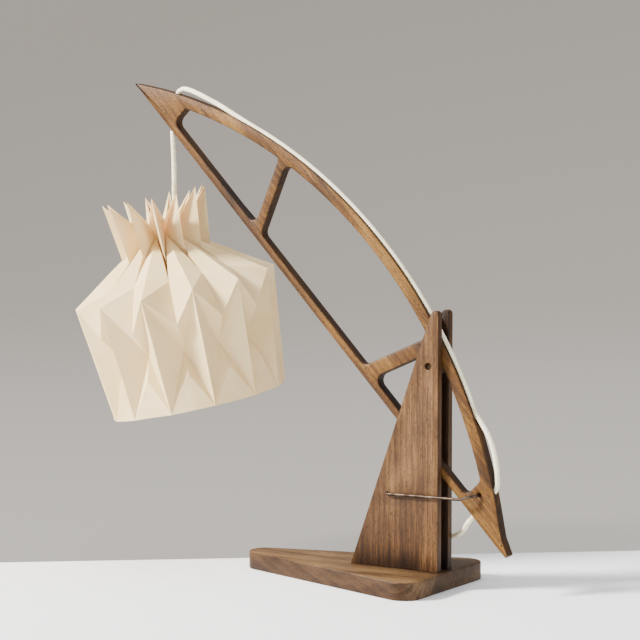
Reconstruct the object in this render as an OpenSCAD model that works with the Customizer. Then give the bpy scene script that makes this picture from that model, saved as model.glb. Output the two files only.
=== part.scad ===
// Teak table lamp with a tilting bow arm and a pleated paper shade, in millimetres.
// X points from the head of the arm to its tail, Y away from the near upright, Z up.
// The origin lies on the underside of the base, below the back edge of the uprights.

/* [Base] */
// Length of the base plank, from its back edge to its nose
base_length = 275; // [240:1:320]
// Width of the base plank at its back edge, before its corners are rounded
base_width = 194; // [160:1:240]
// Thickness of the base plank
base_thickness = 21; // [16:0.5:30]
// Radius of the nose
nose_radius = 20; // [12:1:30]
// Radius of the back corners
corner_radius = 22; // [10:1:35]
// Rounding of the plank's edges
base_arris = 1.5; // [0.5:0.1:3]
// How far the base stands out behind the uprights
base_overhang = 7.5; // [0:0.5:20]

/* [Uprights] */
// Length of an upright's foot
upright_foot = 116.5; // [90:0.5:150]
// Height of the uprights above the base
upright_height = 300; // [270:1:340]
// Thickness of each upright
upright_thickness = 9.5; // [7:0.5:14]
// Radius at the top of the uprights
apex_radius = 5; // [3:0.5:8]
// Diameter of the screws under the uprights
screw_diameter = 3.5; // [3:0.5:4.5]
// How far the screws reach into the uprights
screw_grip = 22; // [12:1:30]
// Screws' distance from each end of the foot
screw_inset = 29; // [20:1:40]

/* [Pivot] */
// Height of the pivot above the base
pivot_height = 236.4; // [220:0.2:250]
// Distance of the pivot from the back edge of the uprights
pivot_inset = 13.3; // [11:0.1:20]
// Diameter of the pivot pin
pin_diameter = 8; // [5:0.5:10]
// How far the pin's ends lie below the outer faces
pin_recess = 2.5; // [1:0.5:4]
// Outer diameter of the pivot washers
washer_diameter = 20; // [14:1:24]
// Thickness of the pivot washers
washer_thickness = 0.4; // [0.3:0.1:1]

/* [Arm] */
// Length of the arm from tip to tip
arm_length = 744; // [700:1:780]
// Rise of the bow above the straight edge
arm_rise = 125.4; // [115:0.2:140]
// Thickness of the arm
arm_thickness = 14; // [11:0.5:18]
// Slope of the arm's straight edge at rest
arm_angle = 46.1; // [42:0.1:50]
// Depth of the member along the bow
bow_depth = 14; // [11:0.5:18]
// Depth of the member along the straight edge
chord_depth = 9.6; // [8:0.2:12]
// Pivot's distance from the head tip, along the straight edge
pivot_along = 528.5; // [520:0.5:535]
// Pivot's height above the straight edge
pivot_above = 79; // [74:0.5:82]
// Radius of the boss round the pivot
boss_radius = 12.5; // [9:0.5:16]
// Thickness of the head strut
strut_a_width = 12; // [9:0.5:16]
// Foot of the head strut, along the straight edge
strut_a_along = 253.5; // [235:0.5:270]
// Lean of the head strut
strut_a_lean = -23; // [-30:1:-10]
// Thickness of the tail strut
strut_b_width = 17.6; // [13:0.2:21]
// Foot of the tail strut, along the straight edge
strut_b_along = 477.5; // [470:0.5:484]
// Lean of the tail strut
strut_b_lean = 20.5; // [15:0.5:22]
// Where the first opening starts
opening_start = 76; // [70:1:90]
// Where the last opening ends
opening_end = 664; // [650:1:666]
// Corner radius of the openings
opening_radius = 9; // [5:0.5:11]
// How much of the sharp tips is worn off
tip_blunt = 2; // [1:0.5:4]

/* [Cord] */
// Diameter of the cord
cord_diameter = 6; // [5:0.5:6.5]
// Clearance round the cord in its holes and groove, on the radius
cord_clearance = 0.3; // [0.2:0.05:0.5]
// Length of cord from the arm to the top of the lamp holder's grip
drop_length = 191.5; // [170:0.5:220]
// Radius of the coiled lead, to the middle of its turns
coil_radius = 34; // [32:0.5:36]
// Number of turns in the coil
coil_turns = 7.2; // [6:0.2:8]

/* [Stay] */
// Diameter of the stay wire
stay_diameter = 3.5; // [2.5:0.1:4.5]
// Height of the hook hole above the base
hook_height = 86.5; // [70:0.5:100]
// Distance of the hook hole from the back edge of the uprights
hook_inset = 66.7; // [55:0.1:75]
// Stay hole's distance from the head tip, along the straight edge
stay_along = 674.8; // [672:0.2:680]
// Stay hole's height above the straight edge
stay_above = 23.6; // [20:0.2:25]

/* [Shade] */
// Number of pleats
pleats = 13; // [11:1:15]
// Thickness of the paper
paper_thickness = 0.8; // [0.6:0.1:1.2]
// Lean of the shade on its cord
shade_lean = 12.3; // [0:0.1:15]
// Radius of the neck's points
neck_radius = 64.5; // [58:0.5:72]
// Radius of the shade at its rim points
rim_radius = 126; // [118:1:138]
// Radius of the shade at its hem points
hem_radius = 109.5; // [104:0.5:120]
// Depth of the rim points below the neck's points
rim_depth = 114; // [108:1:120]
// Height of the shade
shade_height = 256; // [242:1:276]

/* [Lamp holder] */
// Outer diameter of the holder's cap
holder_diameter = 40; // [38:0.5:44]
// Height of the holder's cap
holder_cap_height = 30; // [28:1:36]
// Wall of the holder's cap and body
holder_wall = 2; // [1.5:0.1:2.5]
// Height of the holder's body
holder_body_height = 36; // [34:1:40]
// Outer diameter of the shade ring
shade_ring_diameter = 54; // [48:1:60]
// Diameter of the push bar of the switch
push_bar_diameter = 6; // [4:0.5:7]
// Travel of the push bar
push_bar_travel = 6; // [4:0.5:8]
// Diameter of the carrier's wire
carrier_wire = 2.5; // [2:0.1:3.5]
// Distance of the carrier's wire ring in from the valleys at the rim
carrier_inset = 4; // [3:0.5:20]
// Diameter of the bulb
bulb_diameter = 45; // [40:1:60]
// Diameter of the bulb's thread
bulb_thread = 26.4; // [26:0.1:26.6]

/* [Plug] */
// Length of the plug's body
plug_length = 36; // [32:1:42]
// Width of the plug's body
plug_width = 26; // [24:1:30]
// Height of the plug's body
plug_height = 14; // [13:0.5:18]
// Diameter of the plug's pins
plug_pin_diameter = 4; // [4:0.2:4.8]
// Length of the plug's pins
plug_pin_length = 19; // [17:1:20]

/* [Hidden] */
$fn = 64;

// Colours
teak = "#a0734a";
cord_white = "#e8e6d6";
paper_cream = "#efe3cf";
old_steel = "#6b5b4a";
white_plastic = "#efece4";
brass = "#c0a050";
glass = "#f4f2ea";

// Fits
fit = 0.05; // radial clearance of a pin that turns in its hole
loose_fit = 0.35; // radial clearance of the stay in its holes
seat_gap = 0.05; // clearance between flat faces that seat on each other
soft_gap = 0.3; // clearance of soft and curved faces
over = 1; // how far a cut runs past the face that it opens
bend_swell = 0.1; // a bend is this much thicker than its wire or cord

// Vectors and outlines
function unit(v) = v / norm(v);
function fillet(a, p, b, r, steps = 6) =
    let (
        u = unit(a - p),
        w = unit(b - p),
        half = acos(u * w) / 2,
        centre = p + unit(u + w) * r / sin(half),
        first = p + u * r / tan(half) - centre,
        last = p + w * r / tan(half) - centre,
        from = atan2(first[1], first[0]),
        sweep = (atan2(last[1], last[0]) - from + 540) % 360 - 180
    )
    [for (i = [0:steps]) centre + r * [cos(from + sweep * i / steps), sin(from + sweep * i / steps)]];
// Corners are [x, y, radius], and a radius of 0 leaves the corner as it is.
function rounded(corners) =
    let (n = len(corners))
    [for (i = [0:n - 1])
        let (
            before = corners[(i + n - 1) % n],
            here = corners[i],
            after = corners[(i + 1) % n],
            p = [here[0], here[1]]
        )
        each here[2] == 0 ? [p] : fillet([before[0], before[1]], p, [after[0], after[1]], here[2])
    ];

// Tubes: a smooth line through chosen points, and a polyhedron swept along it
function curve_at(a, b, c, d, t) =
    0.5 * (2 * b + t * (c - a) + t * t * (2 * a - 5 * b + 4 * c - d) + t * t * t * (3 * b - a - 3 * c + d));
function smooth_line(p, step) =
    let (n = len(p) - 1)
    [for (i = [0:n - 1])
        let (
            parts = max(1, round(norm(p[i + 1] - p[i]) / step)),
            before = i == 0 ? 2 * p[0] - p[1] : p[i - 1],
            after = i == n - 1 ? 2 * p[n] - p[n - 1] : p[i + 2]
        )
        for (j = [0:parts - (i == n - 1 ? 0 : 1)])
            curve_at(before, p[i], p[i + 1], after, j / parts)
    ];
function headings(p) =
    let (n = len(p) - 1)
    [for (i = [0:n])
        i == 0 ? unit(p[1] - p[0])
        : i == n ? unit(p[n] - p[n - 1])
        : unit(unit(p[i + 1] - p[i]) + unit(p[i] - p[i - 1]))
    ];
function square_to(v, heading) = unit(v - (v * heading) * heading);
function sideways(t, start) =
    [for (
        i = 0, v = square_to(start, t[0]);
        i < len(t);
        v = square_to(v, t[min(i + 1, len(t) - 1)]), i = i + 1
    ) v];
function line_length(p) =
    [for (i = [1:len(p) - 1]) norm(p[i] - p[i - 1])] * [for (i = [1:len(p) - 1]) 1];
module tube(line, diameter, sides, start = [0, 0, 1]) {
    t = headings(line);
    v = sideways(t, start);
    n = len(line);
    rings = [for (i = [0:n - 1]) for (j = [0:sides - 1])
        line[i] + diameter / 2 * (cos(360 * j / sides) * v[i] + sin(360 * j / sides) * cross(t[i], v[i]))
    ];
    walls = [for (i = [0:n - 2]) for (j = [0:sides - 1])
        let (k = (j + 1) % sides, a = i * sides, b = a + sides)
        each [[a + j, b + j, b + k], [a + j, b + k, a + k]]
    ];
    caps = [[for (j = [0:sides - 1]) j], [for (j = [sides - 1:-1:0]) (n - 1) * sides + j]];
    polyhedron(rings, concat(walls, caps), convexity = 10);
}
module rod(a, b, diameter) {
    way = b - a;
    translate(a)
        rotate([0, acos(way[2] / norm(way)), atan2(way[1], way[0])])
            cylinder(h = norm(way), d = diameter);
}

// Base and uprights
base_back = base_overhang;
nose_x = base_back - base_length + nose_radius;
corner_reach = [base_back - nose_x, base_width / 2];
base_taper = atan2(corner_reach[1], corner_reach[0]) - asin(nose_radius / norm(corner_reach));
corner_x = base_back - corner_radius;
corner_y = base_width / 2 - corner_radius * tan(base_taper) - corner_radius / cos(base_taper);
base_top = base_thickness;
washer_seat = washer_thickness + 2 * seat_gap;
inner_face = arm_thickness / 2 + washer_seat;
outer_face = inner_face + upright_thickness;
upright_middle = inner_face + upright_thickness / 2;
screw_head = 2 * screw_diameter;
screw_recess = 1;
screw_spots = [for (x = [-screw_inset, screw_inset - upright_foot]) for (y = [-1, 1]) [x, y * upright_middle]];
pilot_diameter = screw_diameter + 2 * fit;

// Arm, in its own flat frame: s along the straight edge from the head tip, h outwards from it
pivot = [-pivot_inset, 0, base_top + pivot_height];
bow_radius = (arm_length * arm_length / 4 + arm_rise * arm_rise) / (2 * arm_rise);
bow_middle = [arm_length / 2, arm_rise - bow_radius];
inner_bow_radius = bow_radius - bow_depth;
function bow_h(s, r) = bow_middle[1] + sqrt(r * r - (s - bow_middle[0]) * (s - bow_middle[0]));
function above_bow(s, up) =
    let (p = [s, bow_h(s, bow_radius)])
    p + up * unit(p - bow_middle);
along_arm = [cos(arm_angle), 0, -sin(arm_angle)];
out_of_arm = [sin(arm_angle), 0, cos(arm_angle)];
head_tip = pivot - pivot_along * along_arm - pivot_above * out_of_arm;
function arm_point(p) = head_tip + p[0] * along_arm + p[1] * out_of_arm;
module in_arm_frame() {
    translate(head_tip) rotate([0, arm_angle, 0]) rotate([90, 0, 0]) children();
}

// Struts and openings of the arm
function strut_side(along, lean, width, side, h) =
    along + tan(lean) * (h - chord_depth) + side * width / 2 / cos(lean);
function strut_meets_bow(along, lean, width, side, s, tries = 5) =
    tries == 0 ? s
    : strut_meets_bow(
        along, lean, width, side,
        strut_side(along, lean, width, side, bow_h(s, inner_bow_radius)), tries - 1
    );
corner_run = 2.2 * opening_radius; // the bow's own points start this far from a corner
function inner_bow(from, to, steps) =
    [for (i = [0:steps])
        let (s = from + (to - from) * i / steps)
        [s, bow_h(s, inner_bow_radius), 0]
    ];
function bow_corner(s, r) = [s, bow_h(s, inner_bow_radius), r];
a_left_foot = strut_side(strut_a_along, strut_a_lean, strut_a_width, -1, chord_depth);
a_right_foot = strut_side(strut_a_along, strut_a_lean, strut_a_width, 1, chord_depth);
a_left_top = strut_meets_bow(strut_a_along, strut_a_lean, strut_a_width, -1, strut_a_along);
a_right_top = strut_meets_bow(strut_a_along, strut_a_lean, strut_a_width, 1, strut_a_along);
b_left_foot = strut_side(strut_b_along, strut_b_lean, strut_b_width, -1, chord_depth);
b_right_foot = strut_side(strut_b_along, strut_b_lean, strut_b_width, 1, chord_depth);
b_left_top = strut_meets_bow(strut_b_along, strut_b_lean, strut_b_width, -1, strut_b_along);
b_right_top = strut_side(strut_b_along, strut_b_lean, strut_b_width, 1, pivot_above - 5);
first_corner_radius = opening_radius / 2;
first_opening = rounded(concat(
    [[opening_start, chord_depth, opening_radius], [a_left_foot, chord_depth, opening_radius]],
    [bow_corner(a_left_top, first_corner_radius)],
    inner_bow(a_left_top - corner_run, opening_start + corner_run, 6),
    [bow_corner(opening_start, first_corner_radius)]
));
middle_opening = rounded(concat(
    [[a_right_foot, chord_depth, opening_radius], [b_left_foot, chord_depth, opening_radius]],
    [bow_corner(b_left_top, opening_radius)],
    inner_bow(b_left_top - corner_run, a_right_top + corner_run, 10),
    [bow_corner(a_right_top, opening_radius)]
));
boss_side = 12.5; // from the pivot to where the last opening's bow side starts
last_opening = rounded(concat(
    [[b_right_foot, chord_depth, opening_radius], [opening_end, chord_depth, opening_radius]],
    [bow_corner(opening_end, opening_radius * 0.8)],
    inner_bow(opening_end - corner_run, pivot_along + boss_side, 6),
    [[pivot_along, pivot_above, 0], [b_right_top, pivot_above - 5, 0]]
));
stay_hole = [stay_along, stay_above];
nail_hole = [734.7, 6.7];
nail_diameter = 1.8;
// The tail runs out in a worn tip, past the point where the bow meets the straight edge.
tail_root = 728;
tail_reach = 3.5;
tail_end_height = 4;
tail_tip = [
    [tail_root, 0], [arm_length + tail_reach, 0], [arm_length + tail_reach, tail_end_height],
    [tail_root, bow_h(tail_root, bow_radius) - 0.2]
];

// Holes and groove of the held cord
hole_diameter = cord_diameter + 2 * cord_clearance;
mouth_diameter = cord_diameter + 3.4; // worn mouth of a cord hole
mouth_depth = 4; // how deep the worn mouth goes
mouth_run = 9; // how far the cut for it runs past the wood
head_hole_top = above_bow(51, 0);
head_hole_end = [opening_start, 0];
tail_hole_top = above_bow(683, 0);
tail_hole_end = [686, 0];
groove_from = 157; // where the held cord lies at its full depth
groove_to = 600;
groove_run_out = 42; // how far the groove runs on under the rising cord at the head
groove_tail_out = 14; // the same at the tail
function bow_angle(s) = acos((s - bow_middle[0]) / bow_radius);
hinge_drop = 4.5; // the hanging cord's hinge lies this far under the head hole
exit = arm_point(head_hole_end);
hinge = exit - [0, 0, hinge_drop];
function hole_point(from, to, share) = from + (to - from) * share;
arm_cord_end = arm_point(tail_hole_end + cord_diameter * unit(tail_hole_end - tail_hole_top));
// Where the held cord runs free of the bow, its points are chosen by hand.
head_arch = [
    above_bow(52.6, 3), above_bow(56.5, 6.8), above_bow(63, 8.1), above_bow(73, 7.8),
    above_bow(86, 6.5), above_bow(109, 4.2), above_bow(133, 1.4)
];
tail_arch = [
    above_bow(616, 4.6), above_bow(632, 8.3), above_bow(650, 8.6), above_bow(668, 6.2),
    above_bow(679, 2.6)
];
groove_steps = 24;
arm_cord_points = concat(
    [hinge + [0, 0, cord_diameter / 2 + soft_gap], exit],
    [for (share = [0.35, 0.94]) arm_point(hole_point(head_hole_end, head_hole_top, share))],
    [for (p = head_arch) arm_point(p)],
    [for (i = [0:groove_steps])
        arm_point(above_bow(groove_from + (groove_to - groove_from) * i / groove_steps, 0))
    ],
    [for (p = tail_arch) arm_point(p)],
    [for (share = [0.12, 0.6]) arm_point(hole_point(tail_hole_top, tail_hole_end, share))],
    [arm_point(tail_hole_end), arm_cord_end]
);
arm_cord_step = 20;

// Free lead: chosen points from the tail of the arm to the coil behind the base
coil_middle = [-121, 128];
lead_start = unit(arm_cord_end - arm_point(tail_hole_end));
turn_gap = 0.7;
coil_pitch = cord_diameter + turn_gap;
layer_pitch = cord_diameter + turn_gap;
coil_half = coil_turns / 2;
coil_inner = coil_radius - coil_pitch * coil_half / 2;
turn_softness = 0.12;
lead_straight = cord_diameter + 1;
function coil_at(turn) =
    let (
        from_middle = turn - coil_half,
        away = sqrt(from_middle * from_middle + turn_softness * turn_softness) - turn_softness,
        r = coil_inner + coil_pitch * away,
        climb = min(1, max(0, (from_middle + 0.25) / 0.5))
    )
    [
        coil_middle[0] + r * cos(360 * turn),
        coil_middle[1] + r * sin(360 * turn),
        cord_diameter / 2 + layer_pitch * climb * climb * (3 - 2 * climb)
    ];
rings_per_turn = 24;
coil_rings = round(coil_turns * rings_per_turn);
coil_way_in = unit(coil_at(1 / rings_per_turn) - coil_at(0));
coil_way_out = unit(coil_at(coil_turns) - coil_at(coil_turns - 1 / rings_per_turn));
coil_line = concat(
    [coil_at(0) - lead_straight * [0, 1, 0]],
    [for (i = [0:coil_rings]) coil_at(coil_turns * i / coil_rings)],
    [coil_at(coil_turns) + lead_straight * [coil_way_out[0], coil_way_out[1], 0]]
);
// Least distance between turns, a cord's width left out
function turn_gaps() =
    [for (i = [0:coil_rings - rings_per_turn + 6])
        min([for (j = [i + rings_per_turn / 2:coil_rings]) norm(coil_line[i] - coil_line[j])]) - cord_diameter
    ];
lead_points = [
    arm_cord_end,
    arm_cord_end + cord_diameter * lead_start,
    [27, 2.6, 76],
    [20.4, 7.6, 69.2],
    [10.8, 14.4, 62.6],
    [-3.2, 22.4, 57.6],
    [-18, 31, 52],
    [-32, 42, 44],
    [-44, 55, 35],
    [-54, 68, 27.6],
    [-61, 80, 23.2],
    [-66.6, 91, 17],
    [-71, 101.5, 9.6],
    [-74, 111, 4.6],
    coil_line[0] - cord_diameter * [0, 1, 0],
    coil_line[0]
];
coil_end = coil_line[len(coil_line) - 1];
plug_way = unit([coil_way_out[0], coil_way_out[1], 0]);
plug_lead_length = 34;
relief_length = 24;
relief_start = [coil_end[0], coil_end[1], 0] + plug_lead_length * plug_way + [0, 0, plug_height / 2];
plug_lead_points = [
    coil_end,
    coil_end + cord_diameter * plug_way,
    coil_end + plug_lead_length / 2 * plug_way + [0, 0, (relief_start[2] - coil_end[2]) / 2],
    relief_start - cord_diameter * plug_way,
    relief_start,
    relief_start + (relief_length + 6) * plug_way
];
module on_plug_axis() {
    translate(relief_start) rotate([0, 0, atan2(plug_way[1], plug_way[0])]) children();
}
relief_diameter = 11;
pin_pitch = 19;
plug_start = relief_length;

// Stay: route of the wire from its hook to its hole in the arm
stay_pivot = arm_point(stay_hole);
hook = [-hook_inset, 0, base_top + hook_height];
stay_face = outer_face + stay_diameter / 2 + 2;
stay_bend_run = min(15, stay_pivot[0] - stay_diameter); // the wire bends inwards behind the uprights
stay_hook_radius = 2.8;
stay_shank_top = -arm_thickness / 2 - 3; // where the straight end in the arm starts, along Y
stay_points = concat(
    [[hook[0], -outer_face - soft_gap, hook[2]], [hook[0], -stay_face + stay_hook_radius, hook[2]]],
    [for (a = [22.5:22.5:90])
        [hook[0] + stay_hook_radius * (1 - cos(a)), -stay_face + stay_hook_radius * (1 - sin(a)), hook[2]]
    ],
    [[stay_pivot[0] - 1.4 * stay_bend_run, -stay_face, stay_pivot[2] - 4.6]],
    [[stay_pivot[0] - stay_bend_run, -stay_face + 0.6, stay_pivot[2] - 3.9]],
    [[stay_pivot[0] - 0.55 * stay_bend_run, -stay_face + 4.2, stay_pivot[2] - 1.6]],
    [[stay_pivot[0] - 0.2 * stay_bend_run, stay_shank_top - 3, stay_pivot[2] - 0.4]],
    [[stay_pivot[0], stay_shank_top, stay_pivot[2]], [stay_pivot[0], stay_shank_top + 1, stay_pivot[2]]]
);

// Hanging pieces: their frame starts where the cord bends into the grip and leans with the shade
lean_heading = 32.8;
bend_point = hinge - [0, 0, drop_length - hinge_drop];
module in_shade_frame() {
    translate(bend_point) rotate([0, 0, lean_heading]) rotate([0, -shade_lean, 0]) children();
}
grip_height = 10;
grip_gap = 4; // from the bend in the cord to the grip
cap_top = -grip_height - grip_gap;
cap_bottom = cap_top - holder_cap_height;
cap_roof = 2.5;
nipple_radius = 5;
holder_radius = holder_diameter / 2;
dome_radius = 9;
bar_z = cap_top - 17;
flange_radius = holder_radius + 3;
flange_height = 3;
flange_bottom = cap_bottom - 1 - flange_height;
hub_thickness = 1.5;
hub_top = flange_bottom - seat_gap;
ring_top = hub_top - hub_thickness - seat_gap;
ring_height = 9;
neck_outer = holder_radius - 0.5; // outer radius of the body's threaded neck, without its thread
thread_height = 0.4;
body_bottom = cap_bottom - holder_body_height;
insert_top = cap_bottom - 2;
insert_height = 10;
insert_bottom = insert_top - insert_height;
ledge_height = 2;
insert_radius = neck_outer - holder_wall - 2 * fit;
shell_wall = 0.6;
shell_inner = bulb_thread / 2 + 0.3;
shell_height = 20;
contact_height = 1.4;
shell_top = insert_bottom - seat_gap;
bulb_contact_top = shell_top - shell_wall - contact_height - 2 * seat_gap;
bulb_cap_top = bulb_contact_top - contact_height;
bulb_cap_height = 22;
bulb_cap_wall = 0.4;
bulb_neck = bulb_thread / 2 - bulb_cap_wall - 2 * fit;
bulb_middle = bulb_cap_top - bulb_cap_height - 24;
glass_wall = 0.8;
shade_top = 110; // from the bend in the cord up to the neck's points

// Folds of the shade, as radii and depths below the neck's points
notch_radius = 40;
notch_depth = 31;
waist_radius = 22;
waist_depth = 46;
neck_foot_radius = 54;
neck_foot_depth = 80;
valley_inset = 38; // from the rim points in to the valleys between them
valley_rise = 14;
belly_inset = 10;
belly_drop = 38;
dart_inset = 35;
dart_drop = 71;
skirt_inset = 20;
skirt_drop = 99;
// Each is [radius, depth], and the first four lie on the outer folds' planes.
fold_points = [
    [notch_radius, notch_depth], [waist_radius, waist_depth],
    [rim_radius, rim_depth], [hem_radius, shade_height],
    [neck_radius, 0], [neck_foot_radius, neck_foot_depth],
    [rim_radius - valley_inset, rim_depth - valley_rise],
    [rim_radius - belly_inset, rim_depth + belly_drop],
    [rim_radius - dart_inset, rim_depth + dart_drop],
    [rim_radius - skirt_inset, rim_depth + skirt_drop],
    [hem_radius * cos(180 / pleats), shade_height]
];
facets = [[4, 0, 1], [4, 1, 5], [1, 2, 6], [1, 6, 5], [6, 2, 7], [7, 2, 8], [8, 2, 3], [8, 3, 9], [9, 3, 10]];
fold_kinds = len(fold_points);
pleat_angle = 360 / pleats;
pleat_turn = -75.5; // heading of the first outer fold, from the shade's lean
function fold_angle(i) = i < 4 ? 0 : pleat_angle / 2;
function fold_at(i, p, k) =
    let (a = fold_angle(i) + k * pleat_angle)
    [p[0] * cos(a), p[0] * sin(a), -p[1]];
function facet_normal(f) =
    let (p = [for (i = f) fold_at(i, fold_points[i], 0)])
    unit(cross(p[1] - p[0], p[2] - p[0]));
function in_plane(n, i) =
    let (a = fold_angle(i))
    [n[0] * cos(a) + n[1] * sin(a), -n[2]];
function facets_at(i) = [for (f = facets) if (f[0] == i || f[1] == i || f[2] == i) in_plane(facet_normal(f), i)];
function total(v) = [for (p = v) 1] * v;
most_offset = 2.2; // limit at sharp folds, in thicknesses
function inner_fold_point(i) =
    let (
        normals = facets_at(i),
        way = unit(total(normals)),
        share = total([for (n = normals) [n * way, 0]])[0] / len(normals)
    )
    fold_points[i] - paper_thickness * min(most_offset, 1 / share) * way;
inner_points = [for (i = [0:fold_kinds - 1]) inner_fold_point(i)];
rim_edges = [[4, 0], [3, 10]];

// Pieces of the base
module edge_rounded_disc(r, h, arris) {
    rotate_extrude($fn = 32)
        polygon(concat(
            [[0, 0]],
            [for (i = [0:3]) [r - arris + arris * sin(30 * i), arris - arris * cos(30 * i)]],
            [for (i = [0:3]) [r - arris + arris * cos(30 * i), h - arris + arris * sin(30 * i)]],
            [[0, h]]
        ));
}
module screw_shape(grow) {
    translate([0, 0, screw_recess]) {
        cylinder(h = screw_head / 2, d1 = screw_head + 2 * grow, d2 = grow);
        cylinder(h = base_top + screw_grip - screw_recess, d = screw_diameter + 2 * grow);
    }
}
module base_plank() {
    color(teak)
    difference() {
        hull() {
            translate([nose_x, 0, 0]) edge_rounded_disc(nose_radius, base_thickness, base_arris);
            for (side = [-1, 1])
                translate([corner_x, side * corner_y, 0])
                    edge_rounded_disc(corner_radius, base_thickness, base_arris);
        }
        for (spot = screw_spots) translate(spot) {
            screw_shape(fit);
            translate([0, 0, -over]) cylinder(h = screw_recess + over, d = screw_head + 2 * fit);
        }
    }
}

module upright_outline() {
    front = [-upright_foot, 0];
    apex = [-apex_radius, upright_height - apex_radius];
    reach = apex - front;
    lean = atan2(reach[1], reach[0]) + asin(apex_radius / norm(reach)) + 90;
    polygon(concat(
        [front, [0, 0]],
        [for (i = [0:8]) apex + apex_radius * [cos(lean * i / 8), sin(lean * i / 8)]]
    ));
}
module upright(side) {
    color(teak)
    difference() {
        translate([0, side * upright_middle, base_top])
            rotate([90, 0, 0]) linear_extrude(upright_thickness, center = true) upright_outline();
        translate(pivot) rotate([90, 0, 0])
            cylinder(h = 2 * outer_face + 2 * over, d = pin_diameter + 2 * fit, center = true);
        for (spot = screw_spots)
            translate([spot[0], spot[1], base_top - over])
                cylinder(h = screw_grip + over + 1, d = pilot_diameter);
        if (side < 0)
            translate([hook[0], -upright_middle, hook[2]]) rotate([90, 0, 0])
                cylinder(h = upright_thickness + 2 * over, d = stay_diameter + 2 * loose_fit, center = true);
    }
}
module upright_near() {
    upright(-1);
}
module upright_far() {
    upright(1);
}
module upright_screws() {
    slot_width = 1;
    color(old_steel)
    for (spot = screw_spots) translate(spot)
        difference() {
            screw_shape(0);
            for (a = [0, 90])
                rotate([0, 0, a]) translate([0, 0, screw_recess])
                    cube([0.6 * screw_head, slot_width, 2 * slot_width], center = true);
        }
}

// Pieces of the pivot
module pivot_pin() {
    pin_length = 2 * (outer_face - pin_recess);
    bevel = 0.5;
    color(old_steel)
    translate(pivot) rotate([90, 0, 0]) {
        cylinder(h = pin_length - 2 * bevel, d = pin_diameter, center = true);
        for (turn = [0, 180])
            rotate([turn, 0, 0]) translate([0, 0, pin_length / 2 - bevel])
                cylinder(h = bevel, d1 = pin_diameter, d2 = pin_diameter - 2 * bevel);
    }
}
module pivot_washers() {
    color("#8a8378")
    for (side = [-1, 1])
        translate([pivot[0], side * (arm_thickness + washer_seat) / 2, pivot[2]]) rotate([90, 0, 0])
            difference() {
                cylinder(h = washer_thickness, d = washer_diameter, center = true);
                cylinder(h = washer_thickness + 2 * over, d = pin_diameter + 4 * fit, center = true);
            }
}

// Pieces of the arm
module cord_hole(from, to) {
    way = to - from;
    reach = norm(way);
    flare = (mouth_diameter - hole_diameter) / 2;
    wide = mouth_diameter / 2 + mouth_run * flare / mouth_depth;
    narrow = hole_diameter / 2;
    translate(from) rotate([0, 0, atan2(way[1], way[0])]) rotate([0, 90, 0])
        rotate_extrude()
            polygon([
                [0, -mouth_run], [wide, -mouth_run], [narrow, mouth_depth],
                [narrow, reach - mouth_depth], [wide, reach + mouth_run], [0, reach + mouth_run]
            ]);
}
module through_arm() {
    linear_extrude(arm_thickness + 2 * over, center = true) children();
}
module arm() {
    groove_first = bow_angle(groove_from - groove_run_out);
    groove_last = bow_angle(groove_to + groove_tail_out);
    color(teak)
    in_arm_frame()
    difference() {
        union() {
            intersection() {
                translate(bow_middle) cylinder(h = arm_thickness, r = bow_radius, center = true, $fn = 360);
                translate([tip_blunt, 0, -arm_thickness])
                    cube([arm_length - 2 * tip_blunt, arm_rise + over, 2 * arm_thickness]);
            }
            linear_extrude(arm_thickness, center = true) polygon(tail_tip);
        }
        through_arm() polygon(first_opening);
        through_arm() polygon(middle_opening);
        difference() {
            through_arm() polygon(last_opening);
            translate([pivot_along, pivot_above]) cylinder(h = 4 * arm_thickness, r = boss_radius, center = true);
        }
        through_arm() translate([pivot_along, pivot_above]) circle(d = pin_diameter + 2 * fit);
        through_arm() translate(stay_hole) circle(d = stay_diameter + 2 * loose_fit);
        through_arm() translate(nail_hole) circle(d = nail_diameter, $fn = 24);
        translate(bow_middle) rotate([0, 0, groove_last])
            rotate_extrude(angle = groove_first - groove_last, $fn = 360)
                translate([bow_radius, 0]) circle(d = hole_diameter, $fn = 32);
        cord_hole(head_hole_top, head_hole_end);
        cord_hole(tail_hole_top, tail_hole_end);
    }
}
module arm_cord() {
    color(cord_white) tube(smooth_line(arm_cord_points, arm_cord_step), cord_diameter, 10, [0, 1, 0]);
}
module stay_wire() {
    color(old_steel) {
        tube(stay_points, stay_diameter, 12);
        translate([stay_pivot[0], stay_shank_top, stay_pivot[2]]) rotate([-90, 0, 0])
            cylinder(h = arm_thickness / 2 - 1 - stay_shank_top, d = stay_diameter + bend_swell);
    }
}

// Pieces that hang from the head
module drop_cord() {
    color(cord_white) {
        translate(hinge) sphere(d = cord_diameter + bend_swell);
        rod(hinge, bend_point, cord_diameter);
        translate(bend_point) sphere(d = cord_diameter + bend_swell);
        in_shade_frame() translate([0, 0, cap_top - 4]) cylinder(h = -cap_top + 4, d = cord_diameter);
    }
}
module cord_grip() {
    bore = cord_diameter + 2 * cord_clearance;
    nipple_length = 5;
    color(white_plastic)
    in_shade_frame()
    translate([0, 0, cap_top])
    difference() {
        union() {
            translate([0, 0, -nipple_length]) cylinder(h = nipple_length + over, r = nipple_radius);
            translate([0, 0, seat_gap]) cylinder(h = grip_height / 2, r = nipple_radius + 3);
            translate([0, 0, grip_height / 2]) cylinder(h = grip_height / 2, r1 = nipple_radius + 3, r2 = nipple_radius);
        }
        translate([0, 0, -nipple_length - over]) cylinder(h = nipple_length + grip_height + 2 * over, d = bore);
    }
}
function dome_profile(r, h, dome) =
    concat([[0, h]], [for (i = [0:6]) [r - dome + dome * sin(15 * i), h - dome + dome * cos(15 * i)]], [[r, 0], [0, 0]]);
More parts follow.
